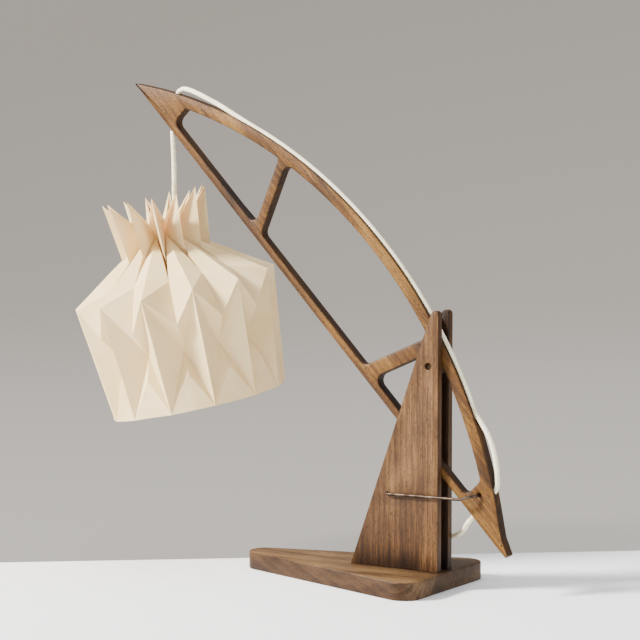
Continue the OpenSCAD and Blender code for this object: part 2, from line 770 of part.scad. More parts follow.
module holder_cap() {
    color(white_plastic)
    in_shade_frame()
    difference() {
        translate([0, 0, cap_bottom]) rotate_extrude() polygon(dome_profile(holder_radius, holder_cap_height, dome_radius));
        translate([0, 0, cap_bottom - over]) rotate_extrude()
            polygon(dome_profile(
                holder_radius - holder_wall, holder_cap_height - cap_roof + over, dome_radius - holder_wall
            ));
        translate([0, 0, cap_top - cap_roof - over]) cylinder(h = cap_roof + 2 * over, r = nipple_radius + fit);
        translate([0, 0, bar_z]) rotate([0, 90, 0])
            cylinder(h = holder_diameter + 2 * over, d = push_bar_diameter + 2 * fit, center = true);
    }
}
module holder_body() {
    threads = 5;
    thread_pitch = 4;
    color(white_plastic)
    in_shade_frame()
    difference() {
        union() {
            translate([0, 0, body_bottom]) cylinder(h = cap_bottom - body_bottom - seat_gap, r = neck_outer);
            translate([0, 0, flange_bottom]) cylinder(h = flange_height, r = flange_radius);
            for (i = [0:threads - 1])
                translate([0, 0, body_bottom + 2 + thread_pitch * i])
                    cylinder(h = thread_pitch / 3, r = neck_outer + thread_height);
        }
        translate([0, 0, insert_bottom]) cylinder(h = -insert_bottom, r = neck_outer - holder_wall);
        translate([0, 0, body_bottom - over])
            cylinder(h = insert_bottom - ledge_height - body_bottom + over, r = neck_outer - holder_wall);
        translate([0, 0, body_bottom]) cylinder(h = -body_bottom, r = shell_inner + shell_wall + 2 * fit);
    }
}
module ceramic_insert() {
    screw_spot = 11;
    color("#f2efe6")
    in_shade_frame()
    difference() {
        translate([0, 0, insert_bottom + seat_gap])
            cylinder(h = insert_height - seat_gap, r = insert_radius);
        for (x = [-screw_spot, screw_spot])
            translate([x, 0, insert_top - 7]) cylinder(h = 7 + over, d = 3 + 2 * fit);
        translate([0, 9, insert_bottom - over]) cylinder(h = insert_height + 2 * over, d = 4);
    }
}
module terminal_screws() {
    screw_spot = 11;
    color(brass)
    in_shade_frame()
    for (x = [-screw_spot, screw_spot])
        translate([x, 0, insert_top])
            difference() {
                union() {
                    translate([0, 0, -6]) cylinder(h = 7, d = 3);
                    translate([0, 0, seat_gap]) cylinder(h = 1.8, d = 5.6);
                }
                translate([0, 0, 1.8]) cube([6, 0.8, 1.2], center = true);
            }
}
module thread_shell() {
    color(brass)
    in_shade_frame()
    translate([0, 0, shell_top - shell_height])
    difference() {
        cylinder(h = shell_height, r = shell_inner + shell_wall);
        translate([0, 0, -over]) cylinder(h = shell_height - shell_wall + over, r = shell_inner);
        cylinder(h = shell_height + over, r = 6);
    }
}
module centre_contact() {
    color(brass)
    in_shade_frame()
    translate([0, 0, shell_top]) {
        translate([0, 0, -shell_wall - contact_height]) cylinder(h = contact_height, r = 4);
        translate([0, 0, -shell_wall - seat_gap]) cylinder(h = shell_wall + seat_gap, r = 2);
    }
}
module push_bar() {
    color("#f0eee8")
    in_shade_frame()
    translate([push_bar_travel / 2, 0, bar_z]) rotate([0, 90, 0])
        cylinder(h = holder_diameter + 2 * push_bar_travel + 2, d = push_bar_diameter, center = true);
}
module shade_ring() {
    ribs = 24;
    ring_radius = shade_ring_diameter / 2;
    color(white_plastic)
    in_shade_frame()
    translate([0, 0, ring_top - ring_height])
    difference() {
        union() {
            cylinder(h = ring_height, r = ring_radius - 1);
            translate([0, 0, ring_height - 2]) cylinder(h = 2, r = ring_radius);
            for (i = [0:ribs - 1])
                rotate([0, 0, 360 / ribs * i]) translate([ring_radius - 1, 0, 0]) cylinder(h = ring_height - 1, r = 0.8, $fn = 16);
        }
        translate([0, 0, -over]) cylinder(h = ring_height + 2 * over, r = neck_outer + thread_height + fit);
    }
}

// Carrier: a hub on the holder, three legs and a wire ring under the folds of the shade
// The ring lies under the folds that run from the feet of the neck's points out to the valleys.
carrier_radius = rim_radius - valley_inset - carrier_inset;
low_fold = [inner_points[5], inner_points[6]];
low_fold_way = low_fold[1] - low_fold[0];
low_fold_slant = norm(low_fold_way) / low_fold_way[0];
carrier_z = shade_top - lookup(carrier_radius, low_fold) - (carrier_wire / 2 + soft_gap) * low_fold_slant;
hub_radius = flange_radius + 2;
module shade_carrier() {
    legs = 3;
    color("#b8b4aa")
    in_shade_frame() {
        translate([0, 0, hub_top - hub_thickness])
            difference() {
                cylinder(h = hub_thickness, r = hub_radius);
                translate([0, 0, -over])
                    cylinder(h = hub_thickness + 2 * over, r = neck_outer + thread_height + 2 * fit);
            }
        for (i = [0:legs - 1])
            rotate([0, 0, 360 / legs * i + 30])
                rod([hub_radius - 1, 0, hub_top - hub_thickness / 2], [carrier_radius, 0, carrier_z], carrier_wire - 0.5);
        translate([0, 0, carrier_z])
            rotate_extrude() translate([carrier_radius, 0]) circle(d = carrier_wire, $fn = 24);
    }
}

module paper_shade() {
    n = fold_kinds;
    far = pleats * n; // where the inner points start
    points = [
        for (set = [fold_points, inner_points]) for (k = [0:pleats - 1]) for (i = [0:n - 1])
            fold_at(i, set[i], k)
    ];
    // Half a pleat, and its mirror image: folds on the outer planes belong to the next pleat there
    halves = [
        for (k = [0:pleats - 1]) for (f = facets) each [
            [for (i = f) k * n + i],
            [for (i = [f[2], f[1], f[0]]) (i < 4 ? (k + 1) % pleats : k) * n + i]
        ]
    ];
    edges = [
        for (k = [0:pleats - 1]) for (e = rim_edges) each [
            [k * n + e[0], k * n + e[1]],
            [for (i = [e[1], e[0]]) (i < 4 ? (k + 1) % pleats : k) * n + i]
        ]
    ];
    outside = [for (f = halves) [f[2], f[1], f[0]]];
    inside = [for (f = halves) [for (i = f) i + far]];
    rim = [for (e = edges) each [[e[0] + far, e[0], e[1]], [e[1] + far, e[0] + far, e[1]]]];
    color(paper_cream)
    in_shade_frame()
    translate([0, 0, shade_top]) rotate([0, 0, pleat_turn])
        polyhedron(points, concat(outside, inside, rim), convexity = 20);
}

// Pieces of the bulb
function bulb_profile(inset) =
    let (
        r = bulb_diameter / 2 - inset,
        neck = bulb_neck - inset,
        shoulder = asin(min(1, (neck + 1) / r)),
        steps = 16
    )
    concat(
        [for (i = [0:steps]) [r * sin((180 - shoulder) * i / steps), -r * cos((180 - shoulder) * i / steps)]],
        [[neck, bulb_diameter / 2 * cos(shoulder) + 3], [neck, bulb_cap_top - bulb_middle - bulb_cap_height / 2]]
    );
module bulb_glass() {
    top = bulb_cap_top - bulb_middle - bulb_cap_height / 2;
    color(glass, 0.6)
    in_shade_frame()
    translate([0, 0, bulb_middle])
        rotate_extrude()
            difference() {
                polygon(concat(bulb_profile(0), [[0, top]]));
                polygon(concat(bulb_profile(glass_wall), [[bulb_neck - glass_wall, top + over], [0, top + over]]));
            }
}
module bulb_cap() {
    threads = 4;
    color(brass)
    in_shade_frame()
    translate([0, 0, bulb_cap_top - bulb_cap_height])
    difference() {
        union() {
            cylinder(h = bulb_cap_height, r = bulb_thread / 2 - 0.4);
            for (i = [0:threads - 1])
                translate([0, 0, 6 + 3.6 * i]) cylinder(h = 1.8, r = bulb_thread / 2);
        }
        translate([0, 0, -over]) cylinder(h = bulb_cap_height - bulb_cap_wall + over, r = bulb_neck + fit);
        cylinder(h = bulb_cap_height + over, r = 2);
    }
}
module bulb_contact() {
    color("#b9b4a8")
    in_shade_frame()
    translate([0, 0, bulb_cap_top]) {
        translate([0, 0, fit]) cylinder(h = contact_height - fit, r = 4.5);
        translate([0, 0, -bulb_cap_wall]) cylinder(h = bulb_cap_wall + 1, r = 1.8);
    }
}
module bulb_stem() {
    stem_radius = 4;
    stem_height = 34;
    top = bulb_cap_top - bulb_cap_wall - fit;
    lead_reach = 9;
    filament_z = bulb_middle + 2;
    color(glass)
    in_shade_frame() {
        translate([0, 0, top - stem_height]) cylinder(h = stem_height - 3, r = stem_radius);
        translate([0, 0, top - 3]) cylinder(h = 3, r = bulb_neck - 0.2);
        for (side = [-1, 1])
            rod([side * 2, 0, top - stem_height + 2], [side * lead_reach, 0, filament_z], 0.8);
        rod([-lead_reach, 0, filament_z], [lead_reach, 0, filament_z], 0.8);
    }
}

// Pieces of the lead
module tail_lead() {
    color(cord_white) tube(smooth_line(lead_points, 12), cord_diameter, 8);
}
module lead_coil() {
    echo(least_gap_between_turns = min(turn_gaps()));
    echo(length_of_coil = line_length(coil_line));
    echo(length_of_free_lead = line_length(smooth_line(lead_points, 4)) + line_length(plug_lead_points));
    color(cord_white) tube(coil_line, cord_diameter, 6);
}
module plug_lead() {
    color(cord_white) tube(smooth_line(plug_lead_points, 9), cord_diameter, 8);
}
module plug_relief() {
    rib_count = 5;
    bore = cord_diameter + 2 * cord_clearance;
    color(white_plastic)
    on_plug_axis() rotate([0, 90, 0])
    difference() {
        union() {
            cylinder(h = relief_length, d1 = bore + 2, d2 = relief_diameter);
            for (i = [1:rib_count])
                translate([0, 0, i * relief_length / (rib_count + 1) - 1])
                    cylinder(h = 2, d = bore + 2.6 + (relief_diameter - bore - 2) * i / (rib_count + 1));
        }
        translate([0, 0, -over]) cylinder(h = relief_length + 2 * over, d = bore);
    }
}
module plug_body() {
    end_radius = 5;
    neck_inset = 7;
    edge_radius = 2;
    socket = 10;
    color(white_plastic)
    on_plug_axis()
    difference() {
        hull()
            for (side = [-1, 1]) {
                translate([plug_start + end_radius + seat_gap, side * (plug_width / 2 - neck_inset), -plug_height / 2])
                    edge_rounded_disc(end_radius, plug_height, edge_radius);
                translate([plug_start + plug_length - end_radius, side * (plug_width / 2 - end_radius), -plug_height / 2])
                    edge_rounded_disc(end_radius, plug_height, edge_radius);
            }
        translate([plug_start - over, 0, 0]) rotate([0, 90, 0])
            cylinder(h = socket, d = cord_diameter + 2 * cord_clearance);
        for (side = [-1, 1])
            translate([plug_start + plug_length - socket, side * pin_pitch / 2, 0]) rotate([0, 90, 0])
                cylinder(h = socket + over, d = plug_pin_diameter + 2 * fit);
    }
}
module plug_pins() {
    sunk = 9.5;
    color("#c9c6bd")
    on_plug_axis()
    for (side = [-1, 1])
        translate([plug_start + plug_length - sunk, side * pin_pitch / 2, 0]) rotate([0, 90, 0]) {
            cylinder(h = sunk + plug_pin_length - 1, d = plug_pin_diameter);
            translate([0, 0, sunk + plug_pin_length - 1]) cylinder(h = 1, d1 = plug_pin_diameter, d2 = plug_pin_diameter - 1.6);
        }
}

base_plank();
upright_near();
upright_far();
upright_screws();
pivot_pin();
pivot_washers();
arm();
arm_cord();
stay_wire();
drop_cord();
cord_grip();
holder_cap();
holder_body();
ceramic_insert();
thread_shell();
centre_contact();
terminal_screws();
push_bar();
shade_ring();
shade_carrier();
paper_shade();
bulb_glass();
bulb_cap();
bulb_contact();
bulb_stem();
tail_lead();
lead_coil();
plug_lead();
plug_relief();
plug_body();
plug_pins();
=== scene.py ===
# Teak table lamp with a folded paper shade: its looks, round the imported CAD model.
# Lengths in the dictionaries are in millimetres, as in the CAD, and angles in degrees.
import math
import random

import bmesh
import bpy
from mathutils import Matrix, Vector, noise


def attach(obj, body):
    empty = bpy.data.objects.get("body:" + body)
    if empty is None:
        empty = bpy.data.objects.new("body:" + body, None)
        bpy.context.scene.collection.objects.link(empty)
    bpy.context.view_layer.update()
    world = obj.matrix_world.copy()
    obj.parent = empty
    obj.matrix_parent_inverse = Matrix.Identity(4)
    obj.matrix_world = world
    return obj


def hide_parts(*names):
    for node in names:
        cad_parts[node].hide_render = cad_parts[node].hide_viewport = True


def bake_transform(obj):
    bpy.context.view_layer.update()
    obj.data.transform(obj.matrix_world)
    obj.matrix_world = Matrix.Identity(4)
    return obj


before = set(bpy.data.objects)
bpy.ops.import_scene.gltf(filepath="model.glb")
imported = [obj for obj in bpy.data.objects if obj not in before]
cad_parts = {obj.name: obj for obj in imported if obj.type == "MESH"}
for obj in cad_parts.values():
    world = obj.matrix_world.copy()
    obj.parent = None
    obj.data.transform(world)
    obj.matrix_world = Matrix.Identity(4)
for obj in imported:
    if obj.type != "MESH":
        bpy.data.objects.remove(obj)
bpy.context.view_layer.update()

mm = 0.001
scene = bpy.context.scene
print("frame loaded:", len(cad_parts), "nodes")


# Small helpers

def linear(code):  # sRGB hex to the linear colour that a shader takes
    shares = [int(code[i:i + 2], 16) / 255 for i in (1, 3, 5)]
    return [c / 12.92 if c <= 0.04045 else ((c + 0.055) / 1.055) ** 2.4 for c in shares] + [1]


def newMaterial(name):
    material = bpy.data.materials.new(name)
    material.use_nodes = True
    material.node_tree.nodes.clear()
    return material, material.node_tree


def addNode(tree, kind, settings=(), links=()):
    made = tree.nodes.new(kind)
    for key, value in dict(settings).items():
        if key == "stops":
            ramp = made.color_ramp
            while len(ramp.elements) < len(value):
                ramp.elements.new(0.5)
            for element, (place, code) in zip(ramp.elements, value):
                element.position = place
                element.color = linear(code)
        elif isinstance(key, str) and hasattr(made, key):
            setattr(made, key, value)
        else:
            made.inputs[key].default_value = value
    for key, socket in dict(links).items():
        tree.links.new(socket, made.inputs[key])
    return made


def giveFinish(obj, material):
    if not obj.data.materials:
        obj.data.materials.append(material)
    for place in obj.material_slots:
        place.material = material


def onlySelect(obj):
    for other in bpy.context.selected_objects:
        other.select_set(False)
    obj.select_set(True)
    bpy.context.view_layer.objects.active = obj


def newPiece(name, points, faces):
    mesh = bpy.data.meshes.new(name)
    mesh.from_pydata([tuple(p) for p in points], [], faces)
    mesh.update()
    made = bpy.data.objects.new(name, mesh)
    scene.collection.objects.link(made)
    return made


def smoothLine(points, step):  # the same curve through chosen points as the CAD's cords
    line = []
    last = len(points) - 1
    for i in range(last):
        a = points[i - 1] if i else 2 * points[0] - points[1]
        b, c = points[i], points[i + 1]
        d = points[i + 2] if i < last - 1 else 2 * points[last] - points[last - 1]
        parts = max(1, round((c - b).length / step))
        for j in range(parts):
            t = j / parts
            line.append(0.5 * (
                2 * b + t * (c - a) + t * t * (2 * a - 5 * b + 4 * c - d) + t ** 3 * (3 * b - a - 3 * c + d)
            ))
    return line + [points[last]]


def lineLength(line):
    return sum((b - a).length for a, b in zip(line, line[1:]))


# a round rod along a line, with its length on the UV map
def sweptRod(name, line, diameter, sides=16, smoothUnder=40):
    headings = []
    for i in range(len(line)):
        before = line[max(i - 1, 0)]
        after = line[min(i + 1, len(line) - 1)]
        headings.append((after - before).normalized())
    side = headings[0].orthogonal().normalized()
    points = []
    for p, heading in zip(line, headings):
        side = (side - side.dot(heading) * heading).normalized()
        up = heading.cross(side)
        for j in range(sides):
            turn = 2 * math.pi * j / sides
            points.append(p + diameter / 2 * (math.cos(turn) * side + math.sin(turn) * up))
    faces = []
    for i in range(len(line) - 1):
        for j in range(sides):
            k = (j + 1) % sides
            faces.append((i * sides + j, i * sides + k, (i + 1) * sides + k, (i + 1) * sides + j))
    faces.append(tuple(range(sides - 1, -1, -1)))
    faces.append(tuple(range((len(line) - 1) * sides, len(line) * sides)))
    rod = newPiece(name, points, faces)
    run = [0]
    for a, b in zip(line, line[1:]):
        run.append(run[-1] + (b - a).length)
    uv = rod.data.uv_layers.new(name="rodMap").data
    for face in rod.data.polygons:
        for corner, loop in zip(face.vertices, face.loop_indices):
            uv[loop].uv = ((corner % sides) / sides, run[corner // sides])
    onlySelect(rod)
    bpy.ops.object.shade_smooth_by_angle(angle=math.radians(smoothUnder))
    return rod


# Camera, at the photograph's viewing angle

cameraPlace = {
    "at": (1.2935, -2.271, 0.5153),  # metres
    "aim": (-0.170, 0, 0.3027),
    "lens": 129.4,  # lens and sensor in millimetres
    "sensor": 36,
}


def makeCamera():
    data = bpy.data.cameras.new("studioCamera")
    data.lens = cameraPlace["lens"]
    data.sensor_width = cameraPlace["sensor"]
    camera = bpy.data.objects.new("studioCamera", data)
    scene.collection.objects.link(camera)
    camera.location = cameraPlace["at"]
    way = Vector(cameraPlace["aim"]) - Vector(cameraPlace["at"])
    camera.rotation_euler = way.to_track_quat("-Z", "Y").to_euler()
    scene.camera = camera


makeCamera()

# The arm's own flat frame, as in the CAD: s along its straight edge, h outwards from it

armShape = {
    "length": 744,
    "rise": 125.4,
    "angle": 46.1,
    "pivot": (-13.3, 0, 257.4),
    "pivotAlong": 528.5,
    "pivotAbove": 79,
    "openingStart": 76,
    "stayHole": (674.8, 23.6),
}
armTurn = math.radians(armShape["angle"])
alongArm = Vector((math.cos(armTurn), 0, -math.sin(armTurn)))
outOfArm = Vector((math.sin(armTurn), 0, math.cos(armTurn)))
headTip = (
    Vector(armShape["pivot"]) - armShape["pivotAlong"] * alongArm - armShape["pivotAbove"] * outOfArm
)
bowRadius = (armShape["length"] ** 2 / 4 + armShape["rise"] ** 2) / (2 * armShape["rise"])
bowMiddle = Vector((armShape["length"] / 2, armShape["rise"] - bowRadius))


def armPoint(s, h):
    return headTip + s * alongArm + h * outOfArm


def aboveBow(s, up):
    h = bowMiddle.y + math.sqrt(bowRadius ** 2 - (s - bowMiddle.x) ** 2)
    away = (Vector((s, h)) - bowMiddle).normalized()
    return armPoint(s + up * away.x, h + up * away.y)


# Cords. One white lead runs from the plug to the lamp holder: free behind the base, held in the
# arm's groove, then hanging from the arm's head.

cord = {
    "diameter": 6,
    "step": 3,  # between rings of the free and the hanging cord
    "heldStep": 5,
    "headHole": (51, 0),  # where the cord passes through the arm, along the bow
    "tailHole": (683, 0),
    "tailHoleEnd": (686, 0),
    "inHeadHole": (0.35, 0.94),  # route points inside the holes, as shares of their depth
    "inTailHole": (0.12, 0.6),
    "hingeDrop": 4.5,
    "hingeGap": 0.3,
    "dropLength": 191.5,
    # arches of the cord before and after its groove: along the arm, and above the bow
    "headArch": ((52.6, 3), (56.5, 6.8), (63, 8.1), (73, 7.8), (86, 6.5), (109, 4.2), (133, 1.4)),
    "tailArch": ((616, 4.6), (632, 8.3), (650, 8.6), (668, 6.2), (679, 2.6)),
    "grooveFrom": 157,
    "grooveTo": 600,
    "grooveSteps": 24,
    "fall": (  # from the tail, behind the far upright, down to the coil
        (27, 2.6, 76), (20.4, 7.6, 69.2), (10.8, 14.4, 62.6), (-3.2, 22.4, 57.6), (-18, 31, 52),
        (-32, 42, 44), (-44, 55, 35), (-54, 68, 27.6), (-61, 80, 23.2), (-66.6, 91, 17), (-71, 101.5, 9.6),
        (-74, 111, 4.6),
    ),
    "coilMiddle": (-121, 128),
    "coilRadius": 34,
    "coilTurns": 7.2,
    "coilWayIn": (0, 1, 0),
    "coilClear": 1,
    "ringsPerTurn": 36,
    "turnGap": 0.7,
    "turnRound": 0.12,  # share of a turn in which the coil changes from winding in to winding out
    "climbTurns": 0.5,  # it climbs on its own lower layer meanwhile
    "plugLead": 34,
    "plugHeight": 14,
    "reliefLength": 24,
    "intoPlug": 5,
}
cordWidth = cord["diameter"]
cordExit = armPoint(armShape["openingStart"], 0)
cordHinge = cordExit - Vector((0, 0, cord["hingeDrop"]))
tailEnd = armPoint(*cord["tailHoleEnd"])
tailWay = (tailEnd - aboveBow(*cord["tailHole"])).normalized()
leadExit = tailEnd + cordWidth * tailWay


def coilPoint(turn):
    pitch = cordWidth + cord["turnGap"]
    half = cord["coilTurns"] / 2
    fromMiddle = turn - half
    away = math.sqrt(fromMiddle ** 2 + cord["turnRound"] ** 2) - cord["turnRound"]
    radius = cord["coilRadius"] - pitch * half / 2 + pitch * away
    climb = min(1, max(0, fromMiddle / cord["climbTurns"] + 0.5))
    return Vector((
        cord["coilMiddle"][0] + radius * math.cos(2 * math.pi * turn),
        cord["coilMiddle"][1] + radius * math.sin(2 * math.pi * turn),
        cordWidth / 2 + pitch * climb * climb * (3 - 2 * climb),
    ))


def makeLead():
    turns = cord["coilTurns"]
    rings = round(turns * cord["ringsPerTurn"])
    coil = [coilPoint(turns * i / rings) for i in range(rings + 1)]
    wayIn = Vector(cord["coilWayIn"])
    shortTurn = 1 / 24
    wayOut = coilPoint(turns) - coilPoint(turns - shortTurn)
    wayOut = Vector((wayOut.x, wayOut.y, 0)).normalized()
    straight = cordWidth + cord["coilClear"]
    coilStart = coil[0] - straight * wayIn
    fall = [leadExit, leadExit + cordWidth * tailWay]
    fall += [Vector(place) for place in cord["fall"]]
    fall += [coilStart - cordWidth * wayIn, coilStart]
    coilEnd = coil[-1] + straight * wayOut
    reliefStart = Vector((coilEnd.x, coilEnd.y, 0)) + cord["plugLead"] * wayOut
    reliefStart.z = cord["plugHeight"] / 2
    rise = Vector((0, 0, (reliefStart.z - coilEnd.z) / 2))
    plugLead = [
        coilEnd, coilEnd + cordWidth * wayOut, coilEnd + cord["plugLead"] / 2 * wayOut + rise,
        reliefStart - cordWidth * wayOut, reliefStart,
        reliefStart + (cord["reliefLength"] + cord["intoPlug"]) * wayOut,
    ]
    line = smoothLine(fall, cord["step"]) + coil + smoothLine(plugLead, cord["step"])
    line = [p * mm for p in line]
    lead = sweptRod("mainsLead", line, cordWidth * mm)
    giveFinish(lead, finishes["cord"])
    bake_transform(lead)
    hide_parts("tail_lead", "lead_coil", "plug_lead")
    print("mains lead:", round(lineLength(line), 3), "m")


def makeArmCord():
    headTop = aboveBow(*cord["headHole"])
    tailTop = aboveBow(*cord["tailHole"])
    grooveRun = cord["grooveTo"] - cord["grooveFrom"]
    points = [cordHinge + Vector((0, 0, cordWidth / 2 + cord["hingeGap"])), cordExit]
    points += [cordExit.lerp(headTop, share) for share in cord["inHeadHole"]]
    points += [aboveBow(*place) for place in cord["headArch"]]
    points += [
        aboveBow(cord["grooveFrom"] + grooveRun * i / cord["grooveSteps"], 0)
        for i in range(cord["grooveSteps"] + 1)
    ]
    points += [aboveBow(*place) for place in cord["tailArch"]]
    points += [tailTop.lerp(tailEnd, share) for share in cord["inTailHole"]]
    points += [tailEnd, leadExit]
    line = [p * mm for p in smoothLine(points, cord["heldStep"])]
    held = sweptRod("heldCord", line, cordWidth * mm)
    giveFinish(held, finishes["cord"])
    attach(held, "arm")
    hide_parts("arm_cord")
    print("cord on the arm:", round(lineLength(line), 3), "m")


# The frame of what hangs: it starts where the cord bends and leans with the shade

hang = {
    "lean": 12.3,
    "heading": 32.8,
    "capTop": -14,
    "intoCap": 4,
    "aboveHinge": 1,
    # the old cord isn't straight: shares of its drop, and how far it stands aside there
    "sway": (
        (0.93, 0.6), (0.84, 1.2), (0.7, 1.7), (0.6, 1.6), (0.54, 2.6), (0.47, 4.6), (0.42, 4.6), (0.34, 2.2),
        (0.18, 0.4), (0.08, -0.2),
    ),
    "swayWay": (0.84, 0.54, 0),
    "foot": ((0.5, 0, -5), (0, 0, -10)),
}
bendPoint = cordHinge - Vector((0, 0, cord["dropLength"] - cord["hingeDrop"]))
shadeHeading = Matrix.Rotation(math.radians(hang["heading"]), 4, "Z")
shadeTurn = shadeHeading @ Matrix.Rotation(-math.radians(hang["lean"]), 4, "Y")


def inShade(x, y, z):
    return bendPoint + (shadeTurn @ Vector((x, y, z)))


def makeDropCord():
    points = [cordHinge + Vector((0, 0, hang["aboveHinge"])), cordHinge]
    height = cordHinge.z - bendPoint.z
    for share, side in hang["sway"]:
        points.append(bendPoint + Vector((0, 0, share * height)) + side * Vector(hang["swayWay"]))
    points += [inShade(*place) for place in hang["foot"]]
    points.append(inShade(0, 0, hang["capTop"] - hang["intoCap"]))
    line = [p * mm for p in smoothLine(points, cord["step"])]
    drop = sweptRod("dropCord", line, cordWidth * mm)
    giveFinish(drop, finishes["cord"])
    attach(drop, "hanging_shade")
    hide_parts("drop_cord")
    print("hanging cord:", round(lineLength(line), 3), "m")


# Finishes

finishes = {}

teak = {  # oiled teak, sawn, planed and rubbed by hand for decades
    "pore": "#1d1009",
    "poreShare": 0.8,
    "poreEdge": 5,  # how sharply a pore starts
    "faded": "#b9b3ad",  # takes the orange out where the oil has gone grey
    "fadedPatch": 55,
    "shadedGap": "#4a3424",  # painted shade: the faces in the gap between the uprights are darkened
    "gapDepth": (0.3, 2.5),
    "gapShadeShare": 0.85,
    "streaks": {  # length along the grain, and width
        "figure": (190, 24),
        "fibre": (30, 1.4),  # a tenth as wide in real teak: drawn as coarse as the render can show
        "pore": (7, 1.3),  # 0.3 wide in real teak
    },
    "ringWidth": 7,  # growth rings, as they show on the faces
    "ringStretch": 0.12,
    "ringShare": 0.14,  # how much rings and fibres add to the figure
    "fibreShare": 0.55,
    "toneAt": (0.58, 0.75, 0.88, 1.0),
    "seedMove": (0.37, 1, 0),  # metres by which each board's seed moves its grain
    "broadFace": (0, 1, 0),
    "patchEdge": (1.6, 0.75),
    "patchRagged": 0.8,
}
bandStep = 0.314  # metres between bands of a wave texture at scale 1
